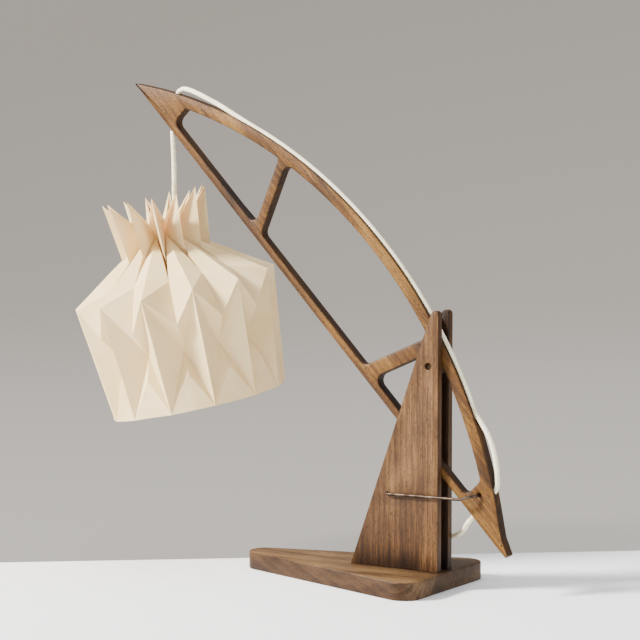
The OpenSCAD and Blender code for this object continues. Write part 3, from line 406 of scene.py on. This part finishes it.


# sides: colour of the painted shade, with some grime, on faces turned against the broad face, at the share
# given after it
def teakFinish(
    name, turn, tone, stainsAndShadow, ringTurn, seed, sides="#6b5442", sideShadeShare=0.8, turned=(0.97, 0.5), shadedGap=None
):
    material, tree = newMaterial(name)
    place = addNode(tree, "ShaderNodeTexCoord").outputs["Object"]
    grain = addNode(
        tree, "ShaderNodeMapping",
        {"Rotation": [math.radians(a) for a in turn], "Location": [seed * move for move in teak["seedMove"]]},
        {"Vector": place},
    ).outputs[0]
    streaks = {}
    for kind, (length, width) in teak["streaks"].items():
        streaks[kind] = addNode(
            tree, "ShaderNodeMapping",
            {"Scale": (1 / (length * mm), 1 / (width * mm), 1 / (width * mm))}, {"Vector": grain},
        ).outputs[0]
    figure = addNode(
        tree, "ShaderNodeTexNoise", {"Scale": 1, "Detail": 3, "Roughness": 0.55, "Distortion": 0.4},
        {"Vector": streaks["figure"]},
    ).outputs["Fac"]
    fibre = addNode(
        tree, "ShaderNodeTexNoise", {"Scale": 1, "Detail": 3, "Roughness": 0.55}, {"Vector": streaks["fibre"]}
    ).outputs["Fac"]
    ringPlace = addNode(
        tree, "ShaderNodeMapping",
        {"Rotation": (math.radians(ringTurn), 0, 0), "Scale": (teak["ringStretch"], 1, 1)}, {"Vector": grain},
    ).outputs[0]
    rings = addNode(
        tree, "ShaderNodeTexWave",
        {"wave_type": "BANDS", "bands_direction": "Y", "wave_profile": "SAW",
         "Scale": bandStep / (teak["ringWidth"] * mm), "Distortion": 6, "Detail": 2, "Detail Scale": 0.25},
        {"Vector": ringPlace},
    ).outputs["Fac"]
    cells = addNode(
        tree, "ShaderNodeTexVoronoi", {"Scale": 1, "Randomness": 1}, {"Vector": streaks["pore"]}
    ).outputs["Distance"]
    crowd = addNode(
        tree, "ShaderNodeMapRange",
        {"From Min": 0.35, "From Max": 0.7, "To Min": 0.22, "To Max": 0.48}, {"Value": fibre},
    ).outputs[0]
    pores = addNode(
        tree, "ShaderNodeMath", {"operation": "SUBTRACT", "use_clamp": True}, {0: crowd, 1: cells}
    ).outputs[0]
    pores = addNode(
        tree, "ShaderNodeMath", {"operation": "MULTIPLY", "use_clamp": True, 1: teak["poreEdge"]}, {0: pores}
    ).outputs[0]

    blend = figure
    for share, layer in ((teak["ringShare"], rings), (teak["fibreShare"], fibre)):
        blend = addNode(
            tree, "ShaderNodeMath", {"operation": "MULTIPLY_ADD", 1: share}, {0: layer, 2: blend}
        ).outputs[0]
    body = addNode(
        tree, "ShaderNodeValToRGB", {"stops": list(zip(teak["toneAt"], tone))}, {"Fac": blend}
    ).outputs["Color"]
    faded = addNode(
        tree, "ShaderNodeTexNoise", {"Scale": 1 / (teak["fadedPatch"] * mm), "Detail": 3}, {"Vector": place}
    ).outputs["Fac"]
    faded = addNode(
        tree, "ShaderNodeMapRange", {"From Min": 0.45, "From Max": 0.65, "To Max": 0.45}, {"Value": faded}
    ).outputs[0]
    body = addNode(
        tree, "ShaderNodeMix", {"data_type": "RGBA", "blend_type": "MULTIPLY", 7: linear(teak["faded"])},
        {0: faded, 6: body},
    ).outputs[2]
    filled = addNode(
        tree, "ShaderNodeMath", {"operation": "MULTIPLY", 1: teak["poreShare"]}, {0: pores}
    ).outputs[0]
    shown = addNode(
        tree, "ShaderNodeMix", {"data_type": "RGBA", 7: linear(teak["pore"])}, {0: filled, 6: body}
    ).outputs[2]

    marks = []  # a share from 0 to 1 and the colour that it multiplies by
    # painted shade, with some grime: faces are darkened by how they turn against the broad face, over the
    # range in turned; on the arm and uprights this darkens the narrow sides and rounded edges
    lie = addNode(tree, "ShaderNodeTexCoord").outputs["Normal"]
    lie = addNode(
        tree, "ShaderNodeVectorMath", {"operation": "DOT_PRODUCT", 1: teak["broadFace"]}, {0: lie}
    ).outputs["Value"]
    lie = addNode(tree, "ShaderNodeMath", {"operation": "ABSOLUTE"}, {0: lie}).outputs[0]
    grime = addNode(
        tree, "ShaderNodeMapRange", {"From Min": turned[0], "From Max": turned[1], "To Max": sideShadeShare},
        {"Value": lie},
    ).outputs[0]
    marks.append((grime, sides))
    # painted shade on the uprights' faces in the gap between them
    if shadedGap:
        across = addNode(tree, "ShaderNodeSeparateXYZ", {}, {0: place}).outputs["Y"]
        across = addNode(tree, "ShaderNodeMath", {"operation": "ABSOLUTE"}, {0: across}).outputs[0]
        unshadedFrom, fullShadeAt = [(shadedGap + depth) * mm for depth in reversed(teak["gapDepth"])]
        gapShadeMask = addNode(
            tree, "ShaderNodeMapRange", {"From Min": unshadedFrom, "From Max": fullShadeAt, "To Max": teak["gapShadeShare"]},
            {"Value": across},
        ).outputs[0]
        marks.append((gapShadeMask, teak["shadedGap"]))
    for middle, reach, strength, code in stainsAndShadow:  # marks that years of use left at known places, and a painted shadow under the stay wire
        away = addNode(
            tree, "ShaderNodeVectorMath", {"operation": "SUBTRACT", 1: [c * mm for c in middle]}, {0: place}
        ).outputs[0]
        shaped = addNode(
            tree, "ShaderNodeVectorMath", {"operation": "DIVIDE", 1: [c * mm for c in reach]}, {0: away}
        ).outputs[0]
        size = addNode(tree, "ShaderNodeVectorMath", {"operation": "LENGTH"}, {0: shaped}).outputs["Value"]
        ragged = addNode(
            tree, "ShaderNodeMath", {"operation": "MULTIPLY_ADD", 1: teak["patchRagged"]},
            {0: figure, 2: size},
        ).outputs[0]
        patchShare = addNode(
            tree, "ShaderNodeMapRange",
            {"interpolation_type": "SMOOTHSTEP", "From Min": teak["patchEdge"][0],
             "From Max": teak["patchEdge"][1], "To Max": strength},
            {"Value": ragged},
        ).outputs[0]
        marks.append((patchShare, code))
    for share, code in marks:
        shown = addNode(
            tree, "ShaderNodeMix", {"data_type": "RGBA", "blend_type": "MULTIPLY", 7: linear(code)},
            {0: share, 6: shown},
        ).outputs[2]

    rough = addNode(
        tree, "ShaderNodeMapRange",
        {"From Min": 0.3, "From Max": 0.8, "To Min": 0.42, "To Max": 0.6}, {"Value": fibre},
    ).outputs[0]
    height = addNode(tree, "ShaderNodeMath", {"operation": "SUBTRACT"}, {0: fibre, 1: pores}).outputs[0]
    bump = addNode(
        tree, "ShaderNodeBump", {"Strength": 0.35, "Distance": 0.0005}, {"Height": height}
    ).outputs["Normal"]
    wood = addNode(
        tree, "ShaderNodeBsdfPrincipled", {"IOR": 1.5, "Specular IOR Level": 0.2},
        {"Base Color": shown, "Roughness": rough, "Normal": bump},
    )
    addNode(tree, "ShaderNodeOutputMaterial", {}, {"Surface": wood.outputs[0]})
    return material


card = {  # waxed shade card: matt cream, lets a warm light through
    "tones": [(0.45, "#f0dca2"), (0.7, "#f8e7b2"), (0.95, "#fbeec2")],
    "cloud": 45,
    "fibre": 1.6,
    "fibreShare": 0.35,
    "through": "#eeb070",
    "throughShare": 0.3,
}


def paperFinish():
    material, tree = newMaterial("foldedPaper")
    place = addNode(tree, "ShaderNodeTexCoord").outputs["Object"]
    cloud = addNode(
        tree, "ShaderNodeTexNoise", {"Scale": 1 / (card["cloud"] * mm), "Detail": 3}, {"Vector": place}
    ).outputs["Fac"]
    fibre = addNode(
        tree, "ShaderNodeTexNoise", {"Scale": 1 / (card["fibre"] * mm), "Detail": 4}, {"Vector": place}
    ).outputs["Fac"]
    mixed = addNode(
        tree, "ShaderNodeMath", {"operation": "MULTIPLY_ADD", 1: card["fibreShare"]}, {0: fibre, 2: cloud}
    ).outputs[0]
    tone = addNode(tree, "ShaderNodeValToRGB", {"stops": card["tones"]}, {"Fac": mixed}).outputs["Color"]
    bump = addNode(
        tree, "ShaderNodeBump", {"Strength": 0.12, "Distance": 0.0002}, {"Height": fibre}
    ).outputs["Normal"]
    face = addNode(
        tree, "ShaderNodeBsdfPrincipled", {"Roughness": 0.72, "IOR": 1.45, "Specular IOR Level": 0.25},
        {"Base Color": tone, "Normal": bump},
    )
    through = addNode(tree, "ShaderNodeBsdfTranslucent", {"Color": linear(card["through"])})
    both = addNode(
        tree, "ShaderNodeMixShader", {0: card["throughShare"]}, {1: face.outputs[0], 2: through.outputs[0]}
    )
    addNode(tree, "ShaderNodeOutputMaterial", {}, {"Surface": both.outputs[0]})
    return material


sheathLook = {  # white PVC, yellowed with age: soft gloss, a little grime along it
    "tones": [(0.3, "#d2c8a0"), (0.5, "#e9e1c0"), (0.75, "#f2edd6")],
    "grime": 22,
    "skin": 1.2,
}


def cordFinish():
    material, tree = newMaterial("agedCordSheath")
    place = addNode(tree, "ShaderNodeTexCoord").outputs["Object"]
    grime = addNode(
        tree, "ShaderNodeTexNoise", {"Scale": 1 / (sheathLook["grime"] * mm), "Detail": 4}, {"Vector": place}
    ).outputs["Fac"]
    tone = addNode(
        tree, "ShaderNodeValToRGB", {"stops": sheathLook["tones"]}, {"Fac": grime}
    ).outputs["Color"]
    skin = addNode(
        tree, "ShaderNodeTexNoise", {"Scale": 1 / (sheathLook["skin"] * mm), "Detail": 2}, {"Vector": place}
    ).outputs["Fac"]
    bump = addNode(
        tree, "ShaderNodeBump", {"Strength": 0.1, "Distance": 0.0002}, {"Height": skin}
    ).outputs["Normal"]
    sheath = addNode(
        tree, "ShaderNodeBsdfPrincipled",
        {"Roughness": 0.42, "IOR": 1.5, "Subsurface Weight": 0.1, "Subsurface Scale": 0.002},
        {"Base Color": tone, "Normal": bump},
    )
    addNode(tree, "ShaderNodeOutputMaterial", {}, {"Surface": sheath.outputs[0]})
    return material


def metalFinish(name, tones, grit, roughness, bumpStrength=0.15):  # grit: how fine the metal's marks are
    material, tree = newMaterial(name)
    patchSize = 9
    fineShare = 0.3
    place = addNode(tree, "ShaderNodeTexCoord").outputs["Object"]
    fine = addNode(
        tree, "ShaderNodeTexNoise", {"Scale": 1 / (grit * mm), "Detail": 4}, {"Vector": place}
    ).outputs["Fac"]
    patches = addNode(
        tree, "ShaderNodeTexNoise", {"Scale": 1 / (patchSize * mm), "Detail": 3}, {"Vector": place}
    ).outputs["Fac"]
    mixed = addNode(
        tree, "ShaderNodeMath", {"operation": "MULTIPLY_ADD", 1: fineShare}, {0: fine, 2: patches}
    ).outputs[0]
    tone = addNode(
        tree, "ShaderNodeValToRGB", {"stops": list(zip((0.5, 0.65, 0.82), tones))}, {"Fac": mixed}
    ).outputs["Color"]
    rough = addNode(
        tree, "ShaderNodeMapRange",
        {"From Min": 0.4, "From Max": 0.9, "To Min": roughness[0], "To Max": roughness[1]}, {"Value": mixed},
    ).outputs[0]
    bump = addNode(
        tree, "ShaderNodeBump", {"Strength": bumpStrength, "Distance": 0.0001}, {"Height": fine}
    ).outputs["Normal"]
    metal = addNode(
        tree, "ShaderNodeBsdfPrincipled", {"Metallic": 1},
        {"Base Color": tone, "Roughness": rough, "Normal": bump},
    )
    addNode(tree, "ShaderNodeOutputMaterial", {}, {"Surface": metal.outputs[0]})
    return material


# moulded plastic or glazed clay: even, with faint clouds and the skin of its mould
def mouldedFinish(name, tones, roughness, coat=0.0):
    material, tree = newMaterial(name)
    cloudSize = 14
    skinSize = 1.1
    place = addNode(tree, "ShaderNodeTexCoord").outputs["Object"]
    cloud = addNode(
        tree, "ShaderNodeTexNoise", {"Scale": 1 / (cloudSize * mm), "Detail": 3}, {"Vector": place}
    ).outputs["Fac"]
    skin = addNode(
        tree, "ShaderNodeTexNoise", {"Scale": 1 / (skinSize * mm), "Detail": 2}, {"Vector": place}
    ).outputs["Fac"]
    tone = addNode(
        tree, "ShaderNodeValToRGB", {"stops": list(zip((0.35, 0.65), tones))}, {"Fac": cloud}
    ).outputs["Color"]
    rough = addNode(
        tree, "ShaderNodeMapRange",
        {"From Min": 0.3, "From Max": 0.7, "To Min": roughness[0], "To Max": roughness[1]}, {"Value": cloud},
    ).outputs[0]
    bump = addNode(
        tree, "ShaderNodeBump", {"Strength": 0.08, "Distance": 0.0002}, {"Height": skin}
    ).outputs["Normal"]
    plastic = addNode(
        tree, "ShaderNodeBsdfPrincipled", {"IOR": 1.5, "Coat Weight": coat, "Coat Roughness": 0.1},
        {"Base Color": tone, "Roughness": rough, "Normal": bump},
    )
    addNode(tree, "ShaderNodeOutputMaterial", {}, {"Surface": plastic.outputs[0]})
    return material


def glassFinish(name, roughness):  # blown glass, etched inside for the bulb and clear for its stem
    material, tree = newMaterial(name)
    etchSize = 1.5
    place = addNode(tree, "ShaderNodeTexCoord").outputs["Object"]
    etch = addNode(
        tree, "ShaderNodeTexNoise", {"Scale": 1 / (etchSize * mm), "Detail": 3}, {"Vector": place}
    ).outputs["Fac"]
    rough = addNode(
        tree, "ShaderNodeMapRange", {"To Min": roughness[0], "To Max": roughness[1]}, {"Value": etch}
    ).outputs[0]
    glass = addNode(
        tree, "ShaderNodeBsdfPrincipled",
        {"Base Color": linear("#f7f6f1"), "IOR": 1.5, "Transmission Weight": 0.9}, {"Roughness": rough},
    )
    addNode(tree, "ShaderNodeOutputMaterial", {}, {"Surface": glass.outputs[0]})
    return material


def makeFinishes():
    finishes["cord"] = cordFinish()
    finishes["paper"] = paperFinish()
    finishes["arm"] = teakFinish(
        "oiledTeakArm", (0, -armShape["angle"], 0), ("#2e1d0d", "#482d10", "#5d3d16", "#705022"),
        stainsAndShadow=[
            ((-302, 0, 437), (20, 40, 26), 0.55, "#6b5648"),
            ((-170, 0, 330), (16, 40, 20), 0.35, "#7a6250"),
            ((-398, 0, 532), (16, 40, 22), 0.5, "#6f5a4a"),
            ((-60, 0, 232), (40, 40, 20), 0.4, "#7b6350"),
        ], ringTurn=60, seed=3,
    )
    finishes["upright"] = teakFinish(
        "oiledTeakUpright", (0, 90, 0), ("#291a0d", "#442c17", "#593c20", "#6d4f2f"),
        stainsAndShadow=[
            ((-60, 0, 12), (130, 60, 34), 0.75, "#53392a"),
            # painted shadow of the stay wire on the near upright's outer face
            ((-58, -17, 100), (30, 12, 8), 0.4, "#6b5444"),
            ((-62, 0, 190), (26, 40, 80), 0.3, "#8a6a55"),
        ], ringTurn=75, seed=7, sideShadeShare=0.15, shadedGap=7.5,
    )
    finishes["base"] = teakFinish(
        "oiledTeakBase", (0, 0, 0), ("#2c1d10", "#4a341f", "#5f462b", "#705638"),
        stainsAndShadow=[
            ((5, 20, 20), (60, 90, 30), 0.5, "#6b5142"),
        # on the base this painted shade, with some grime, darkens the faces turned towards the front and the
        # back
        ], ringTurn=38, seed=11, sides="#988776", sideShadeShare=0.9, turned=(0.3, 0.95),
    )
    # drawn wire, browned with age: dark, with a narrow warm shine
    finishes["steel"] = metalFinish(
        "brownedSteelWire", ("#2a211b", "#43372e", "#64564a"), 0.8, (0.4, 0.55), 0.05
    )
    finishes["pin"] = metalFinish("darkPivotPin", ("#17120e", "#241b14", "#3a2c20"), 0.8, (0.5, 0.7))
    finishes["screw"] = metalFinish("zincSteel", ("#8a8883", "#a5a39e", "#bbb9b4"), 0.6, (0.3, 0.5))
    finishes["washer"] = metalFinish(
        "rolledSteelWasher", ("#6a655e", "#8c877f", "#a8a39a"), 0.6, (0.35, 0.5)
    )
    finishes["carrier"] = metalFinish("brightWire", ("#a9a7a1", "#c4c2bc", "#d4d2cc"), 0.5, (0.2, 0.35))
    finishes["brass"] = metalFinish("spunBrass", ("#9c7a34", "#bd9a4c", "#d2b268"), 0.5, (0.25, 0.4))
    finishes["plated"] = metalFinish("nickelPlate", ("#a8a59c", "#c9c6bd", "#dcdad2"), 0.4, (0.14, 0.28))
    finishes["holder"] = mouldedFinish("mouldedLampHolder", ("#e9e5da", "#f2efe6"), (0.24, 0.34), 0.2)
    finishes["plug"] = mouldedFinish("mouldedPlug", ("#e2ddce", "#ece8dc"), (0.32, 0.45))
    finishes["ceramic"] = mouldedFinish("glazedPorcelain", ("#eeece6", "#f8f7f3"), (0.12, 0.22), 0.4)
    finishes["bulb"] = glassFinish("etchedBulbGlass", (0.3, 0.5))
    finishes["stem"] = glassFinish("clearStemGlass", (0.02, 0.08))


# Wooden pieces: each is a copy of its CAD solid with its long edges rounded as by hand

woodwork = {
    "weld": 0.01,
    "flat": 0.6,  # facets that meet at less than this angle are one face
    "nearFace": 0.1,
    "rounded": 35,  # long edges that turn by more than this are rounded
    "roundSteps": 3,
    "smoothUnder": 32,
    "baseSmoothUnder": 38,
}
# faces: how far the broad faces lie from the middle plane. spare: places and reaches without rounding
wooden = {
    "teakArm": {
        "node": "arm", "body": "arm", "slot": "teak_light", "finish": "arm", "faces": (7,), "edge": 1.8,
        "spare": [(armPoint(734.7, 6.7), 9), (armPoint(745, 2), 14), (armPoint(2, 0), 12)],
    },
    "teakUprightNear": {
        "node": "upright_near", "body": "base", "slot": "teak_dark", "finish": "upright", "faces": (7.5, 17),
        "edge": 0.9, "spare": [],
    },
    "teakUprightFar": {
        "node": "upright_far", "body": "base", "slot": "teak_dark", "finish": "upright", "faces": (7.5, 17),
        "edge": 0.9, "spare": [],
    },
}


def copyOfNode(name, node):
    made = bpy.data.objects.new(name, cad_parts[node].data.copy())
    scene.collection.objects.link(made)
    made.data.materials.clear()
    onlySelect(made)
    bpy.ops.mesh.customdata_custom_splitnormals_clear()
    bpy.ops.object.mode_set(mode="EDIT")
    bpy.ops.mesh.select_all(action="SELECT")
    bpy.ops.mesh.remove_doubles(threshold=woodwork["weld"] * mm)
    bpy.ops.mesh.select_all(action="SELECT")
    bpy.ops.mesh.dissolve_limited(angle_limit=math.radians(woodwork["flat"]))
    bpy.ops.object.mode_set(mode="OBJECT")
    return made


def isLongEdge(edge, facts):
    if len(edge.link_faces) != 2 or edge.calc_face_angle() <= math.radians(woodwork["rounded"]):
        return False
    aside = [abs(v.co.y) / mm for v in edge.verts]
    middle = (edge.verts[0].co + edge.verts[1].co) / 2 / mm
    onFace = any(all(abs(y - face) < woodwork["nearFace"] for y in aside) for face in facts["faces"])
    return onFace and not any((middle - spot).length < reach for spot, reach in facts["spare"])


def makeWood(name, facts):
    made = copyOfNode(name, facts["node"])
    bpy.ops.object.mode_set(mode="EDIT")
    bpy.ops.mesh.select_mode(type="EDGE")
    bpy.ops.mesh.select_all(action="DESELECT")
    shape = bmesh.from_edit_mesh(made.data)
    for edge in shape.edges:
        if isLongEdge(edge, facts):
            edge.select = True
    shape.select_flush_mode()
    bmesh.update_edit_mesh(made.data)
    bpy.ops.mesh.bevel(
        offset=facts["edge"] * mm, segments=woodwork["roundSteps"], profile=0.5, clamp_overlap=False
    )
    bpy.ops.object.mode_set(mode="OBJECT")
    bpy.ops.object.shade_smooth_by_angle(angle=math.radians(woodwork["smoothUnder"]))
    giveFinish(made, finishes[facts["finish"]])
    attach(made, facts["body"])
    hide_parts(facts["node"])
    print("wood:", name, len(made.data.polygons), "faces")


def makeBase():
    made = copyOfNode("teakBase", "base_plank")
    bpy.ops.object.shade_smooth_by_angle(angle=math.radians(woodwork["baseSmoothUnder"]))
    giveFinish(made, finishes["base"])
    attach(made, "base")
    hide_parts("base_plank")
    print("wood: teakBase", len(made.data.polygons), "faces")


# Stay: one bent steel wire, hooked in the near upright and in the arm's tail

stay = {
    "diameter": 3.5,
    "step": 1.5,
    "outerFace": 17,
    "hook": (-66.7, 107.5),
    "hookDepth": 6,
    "hookRadius": 2.8,
    "hookTurns": (22.5, 45, 67.5, 90),
    "away": 3.75,  # from the upright's face to the middle of the wire
    "spanShares": (0.25, 0.5, 0.75),
    "bendRun": 15,
    # points of the bend into the arm: share of the run before the hole, then how far inwards and down
    "bend": ((1.4, 0, 4.6), (1, 0.6, 3.9), (0.55, 4.2, 1.6), (0.2, 7.75, 0.4)),
    "shankTop": -10,
    "shankEnd": 6,
}


def makeStay():
    pivot = armPoint(*armShape["stayHole"])
    face = stay["outerFace"] + stay["away"]
    x, z = stay["hook"]
    r = stay["hookRadius"]
    points = [Vector((x, stay["hookDepth"] - stay["outerFace"], z)), Vector((x, r - face, z))]
    for turn in stay["hookTurns"]:
        a = math.radians(turn)
        points.append(Vector((x + r * (1 - math.cos(a)), r * (1 - math.sin(a)) - face, z)))
    bend = [
        Vector((pivot.x - share * stay["bendRun"], inwards - face, pivot.z - down))
        for share, inwards, down in stay["bend"]
    ]
    hookEnd = points[-1]
    points += [hookEnd.lerp(bend[0], share) for share in stay["spanShares"]]
    points += bend
    points += [Vector((pivot.x, y, pivot.z)) for y in (stay["shankTop"], stay["shankEnd"])]
    line = [p * mm for p in smoothLine(points, stay["step"])]
    made = sweptRod("stayWire", line, stay["diameter"] * mm)
    giveFinish(made, finishes["steel"])
    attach(made, "stay")
    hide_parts("stay_wire")
    print("stay:", len(made.data.polygons), "faces")


# Shade: one strip of card, folded in pleats round the holder

shade = {
    "seed": 13,
    "pleats": 13,
    "top": 110,
    "turn": -75.5,  # heading of the first outer fold, from the lean
    "card": 0.45,
    # radius and depth of each fold point: the first four on the outer folds, the rest between them
    "folds": [
        (40, 31), (22, 46), (126, 114), (109.5, 256),
        (64.5, 0), (51, 95), (88, 100), (116, 152), (91, 185), (106, 213), (106.3, 256),
    ],
    "outerPoints": 4,
    "facets": [
        (4, 0, 1), (4, 1, 5), (1, 2, 6), (1, 6, 5), (6, 2, 7), (7, 2, 8), (8, 2, 3), (8, 3, 9), (9, 3, 10),
    ],
    "cuts": 5,
    "swing": 1.6,  # how far a fold stands off its even heading
    "wander": 1.2,  # how far a fold point strays
    # the fold points of the hem and of the neck's tips stray up and down by their own amounts
    "ends": (((3, 10), 0.3), ((0, 4), 2.2)),
    "sag": 0.5,
    "sagPatch": 38,
    "sagSeed": 10,
    "smoothUnder": 16,
}


def makeShade():
    rng = random.Random(shade["seed"])
    folds = shade["folds"]
    kinds = len(folds)
    outerPoints = shade["outerPoints"]
    pleats = shade["pleats"]
    step = 360 / pleats
    points = []
    for k in range(pleats):
        swing = {True: rng.uniform(-1, 1), False: rng.uniform(-1, 1)}
        for i, (radius, depth) in enumerate(folds):
            outer = i < outerPoints
            turn = (k if outer else k + 0.5) * step + shade["swing"] * swing[outer]
            reach = radius + shade["wander"] * rng.uniform(-1, 1)
            low = depth + shade["wander"] * rng.uniform(-1, 1)
            for ends, wander in shade["ends"]:
                if i in ends:
                    low = depth + wander * rng.uniform(-1, 1)
            a = math.radians(shade["turn"] + turn)
            points.append(inShade(reach * math.cos(a), reach * math.sin(a), shade["top"] - low) * mm)
    faces = []
    for k in range(pleats):
        for facet in shade["facets"]:
            faces.append(tuple(k * kinds + i for i in reversed(facet)))
            after = (k + 1) % pleats
            faces.append(tuple((after if i < outerPoints else k) * kinds + i for i in facet))
    made = newPiece("paperShade", points, faces)
    onlySelect(made)
    bpy.ops.object.mode_set(mode="EDIT")
    bpy.ops.mesh.select_all(action="SELECT")
    bpy.ops.mesh.normals_make_consistent(inside=False)
    bpy.ops.mesh.subdivide(number_cuts=shade["cuts"])
    bpy.ops.object.mode_set(mode="OBJECT")
    noise.seed_set(shade["sagSeed"])  # without it, the noise would change with the clock
    for v in made.data.vertices:  # card that has hung for years is nowhere quite flat
        place = v.co / (shade["sagPatch"] * mm)
        v.co += shade["sag"] * mm * noise.noise_vector(place)
    thick = made.modifiers.new("card", "SOLIDIFY")
    thick.thickness = shade["card"] * mm
    thick.offset = -1
    thick.use_quality_normals = True
    bpy.ops.object.modifier_apply(modifier=thick.name)
    bpy.ops.object.shade_smooth_by_angle(angle=math.radians(shade["smoothUnder"]))
    giveFinish(made, finishes["paper"])
    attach(made, "hanging_shade")
    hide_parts("paper_shade")
    print("shade:", len(made.data.polygons), "faces")


# CAD nodes whose shape is right keep it and get their real finish

dressed = {
    "upright_screws": "screw",
    "pivot_pin": "pin",
    "pivot_washers": "washer",
    "cord_grip": "holder",
    "holder_cap": "holder",
    "holder_body": "holder",
    "ceramic_insert": "ceramic",
    "thread_shell": "brass",
    "centre_contact": "brass",
    "terminal_screws": "brass",
    "push_bar": "holder",
    "shade_ring": "holder",
    "shade_carrier": "carrier",
    "bulb_glass": "bulb",
    "bulb_cap": "brass",
    "bulb_contact": "screw",
    "bulb_stem": "stem",
    "plug_relief": "plug",
    "plug_body": "plug",
    "plug_pins": "plated",
}


def dressNodes():
    for node, finish in dressed.items():
        giveFinish(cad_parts[node], finishes[finish])
    print("dressed nodes:", len(dressed))


# Studio: a white table top, a grey sheet behind it, and soft light from the left

studio = {
    "edge": ((-533, -146), (74, 340)),  # two points of the table's far edge, where the photograph has it
    "table": "#f1f2f4",
    "paper": "#3c3a38",
    "glow": [(0.0, "#b9b4ad"), (0.12, "#b6b1aa"), (0.4, "#aca69f"), (0.75, "#a19a93"), (1.0, "#989188")],
    "glowStrength": 1.25,
    "glowReach": 7500,
    "glowAside": 0.7,  # the glow falls off backwards, and by these shares to the left and upwards
    "glowUp": 2.5,
    "reach": 5000,
    "wallRise": 2600,
    "wallRound": 900,
    "roundSteps": 12,
    "air": "#d9dadc",
    "airStrength": 0.6,
}


def makeStudio():
    a, b = [Vector((x, y, 0)) * mm for x, y in studio["edge"]]
    along = (b - a).normalized()
    back = Vector((-along.y, along.x, 0))
    reach = studio["reach"] * mm
    middle = (a + b) / 2
    corners = [middle - reach * along, middle + reach * along]
    table = newPiece(
        "tableTop", [corners[0], corners[1], corners[1] - reach * back, corners[0] - reach * back],
        [(3, 2, 1, 0)],
    )
    r = studio["wallRound"] * mm
    rows = [(0, 0), (reach - r, 0)]
    for i in range(1, studio["roundSteps"] + 1):
        turn = math.radians(90 * i / studio["roundSteps"])
        rows.append((reach - r + r * math.sin(turn), r - r * math.cos(turn)))
    rows.append((reach, studio["wallRise"] * mm))
    points = []
    for away, up in rows:
        points += [c + away * back + Vector((0, 0, up)) for c in corners]
    sheet = newPiece(
        "backSheet", points, [(2 * i, 2 * i + 1, 2 * i + 3, 2 * i + 2) for i in range(len(rows) - 1)]
    )
    for obj in (table, sheet):
        for face in obj.data.polygons:
            face.use_smooth = True
    material, tree = newMaterial("tablePaint")
    paint = addNode(
        tree, "ShaderNodeBsdfPrincipled",
        {"Base Color": linear(studio["table"]), "Roughness": 0.8, "Specular IOR Level": 0.2},
    )
    addNode(tree, "ShaderNodeOutputMaterial", {}, {"Surface": paint.outputs[0]})
    giveFinish(table, material)
    material, tree = newMaterial("litPaper")  # seamless paper with painted light: it glows by itself, darker backwards, to the left and upwards
    glowWay = back - studio["glowAside"] * along
    place = addNode(tree, "ShaderNodeTexCoord").outputs["Object"]
    far = addNode(
        tree, "ShaderNodeVectorMath", {"operation": "DOT_PRODUCT", 1: tuple(glowWay)}, {0: place}
    ).outputs["Value"]
    high = addNode(tree, "ShaderNodeSeparateXYZ", {}, {0: place}).outputs["Z"]
    way = addNode(
        tree, "ShaderNodeMath", {"operation": "MULTIPLY_ADD", 1: studio["glowUp"]}, {0: high, 2: far}
    ).outputs[0]
    share = addNode(
        tree, "ShaderNodeMapRange",
        {"From Min": glowWay.dot(middle), "From Max": studio["glowReach"] * mm}, {"Value": way},
    ).outputs[0]
    glow = addNode(tree, "ShaderNodeValToRGB", {"stops": studio["glow"]}, {"Fac": share}).outputs["Color"]
    lit = addNode(
        tree, "ShaderNodeBsdfPrincipled",
        {"Base Color": linear(studio["paper"]), "Roughness": 0.9, "Specular IOR Level": 0.1,
         "Emission Strength": studio["glowStrength"]},
        {"Emission Color": glow},
    )
    addNode(tree, "ShaderNodeOutputMaterial", {}, {"Surface": lit.outputs[0]})
    giveFinish(sheet, material)


lamps = {  # places and sizes in metres, power in watts
    "key": {"at": (-2.5, -2.3, 2.35), "aim": (-0.2, 0, 0.25), "size": 0.9, "power": 660, "tint": "#fffaf3"},
    "fill": {"at": (2.3, -1.0, 1.0), "aim": (-0.1, 0, 0.2), "size": 1.6, "power": 34, "tint": "#f6f9ff"},
    "top": {"at": (-0.2, 0.2, 2.4), "aim": (-0.2, 0.2, 0), "size": 2.2, "power": 44, "tint": "#ffffff"},
}


def makeLamps():
    for name, facts in lamps.items():
        data = bpy.data.lights.new(name + "Light", "AREA")
        data.shape = "DISK"
        data.size = facts["size"]
        data.energy = facts["power"]
        data.color = linear(facts["tint"])[:3]
        light = bpy.data.objects.new(name + "Light", data)
        scene.collection.objects.link(light)
        light.location = facts["at"]
        way = Vector(facts["aim"]) - Vector(facts["at"])
        light.rotation_euler = way.to_track_quat("-Z", "Y").to_euler()
    world = bpy.data.worlds.new("studioAir")
    world.use_nodes = True
    air = world.node_tree.nodes["Background"]
    air.inputs["Color"].default_value = linear(studio["air"])
    air.inputs["Strength"].default_value = studio["airStrength"]
    scene.world = world


makeFinishes()
makeLead()
makeArmCord()
makeDropCord()
for woodName, woodFacts in wooden.items():
    makeWood(woodName, woodFacts)
makeBase()
makeStay()
makeShade()
dressNodes()
makeStudio()
makeLamps()
print("studio ready")
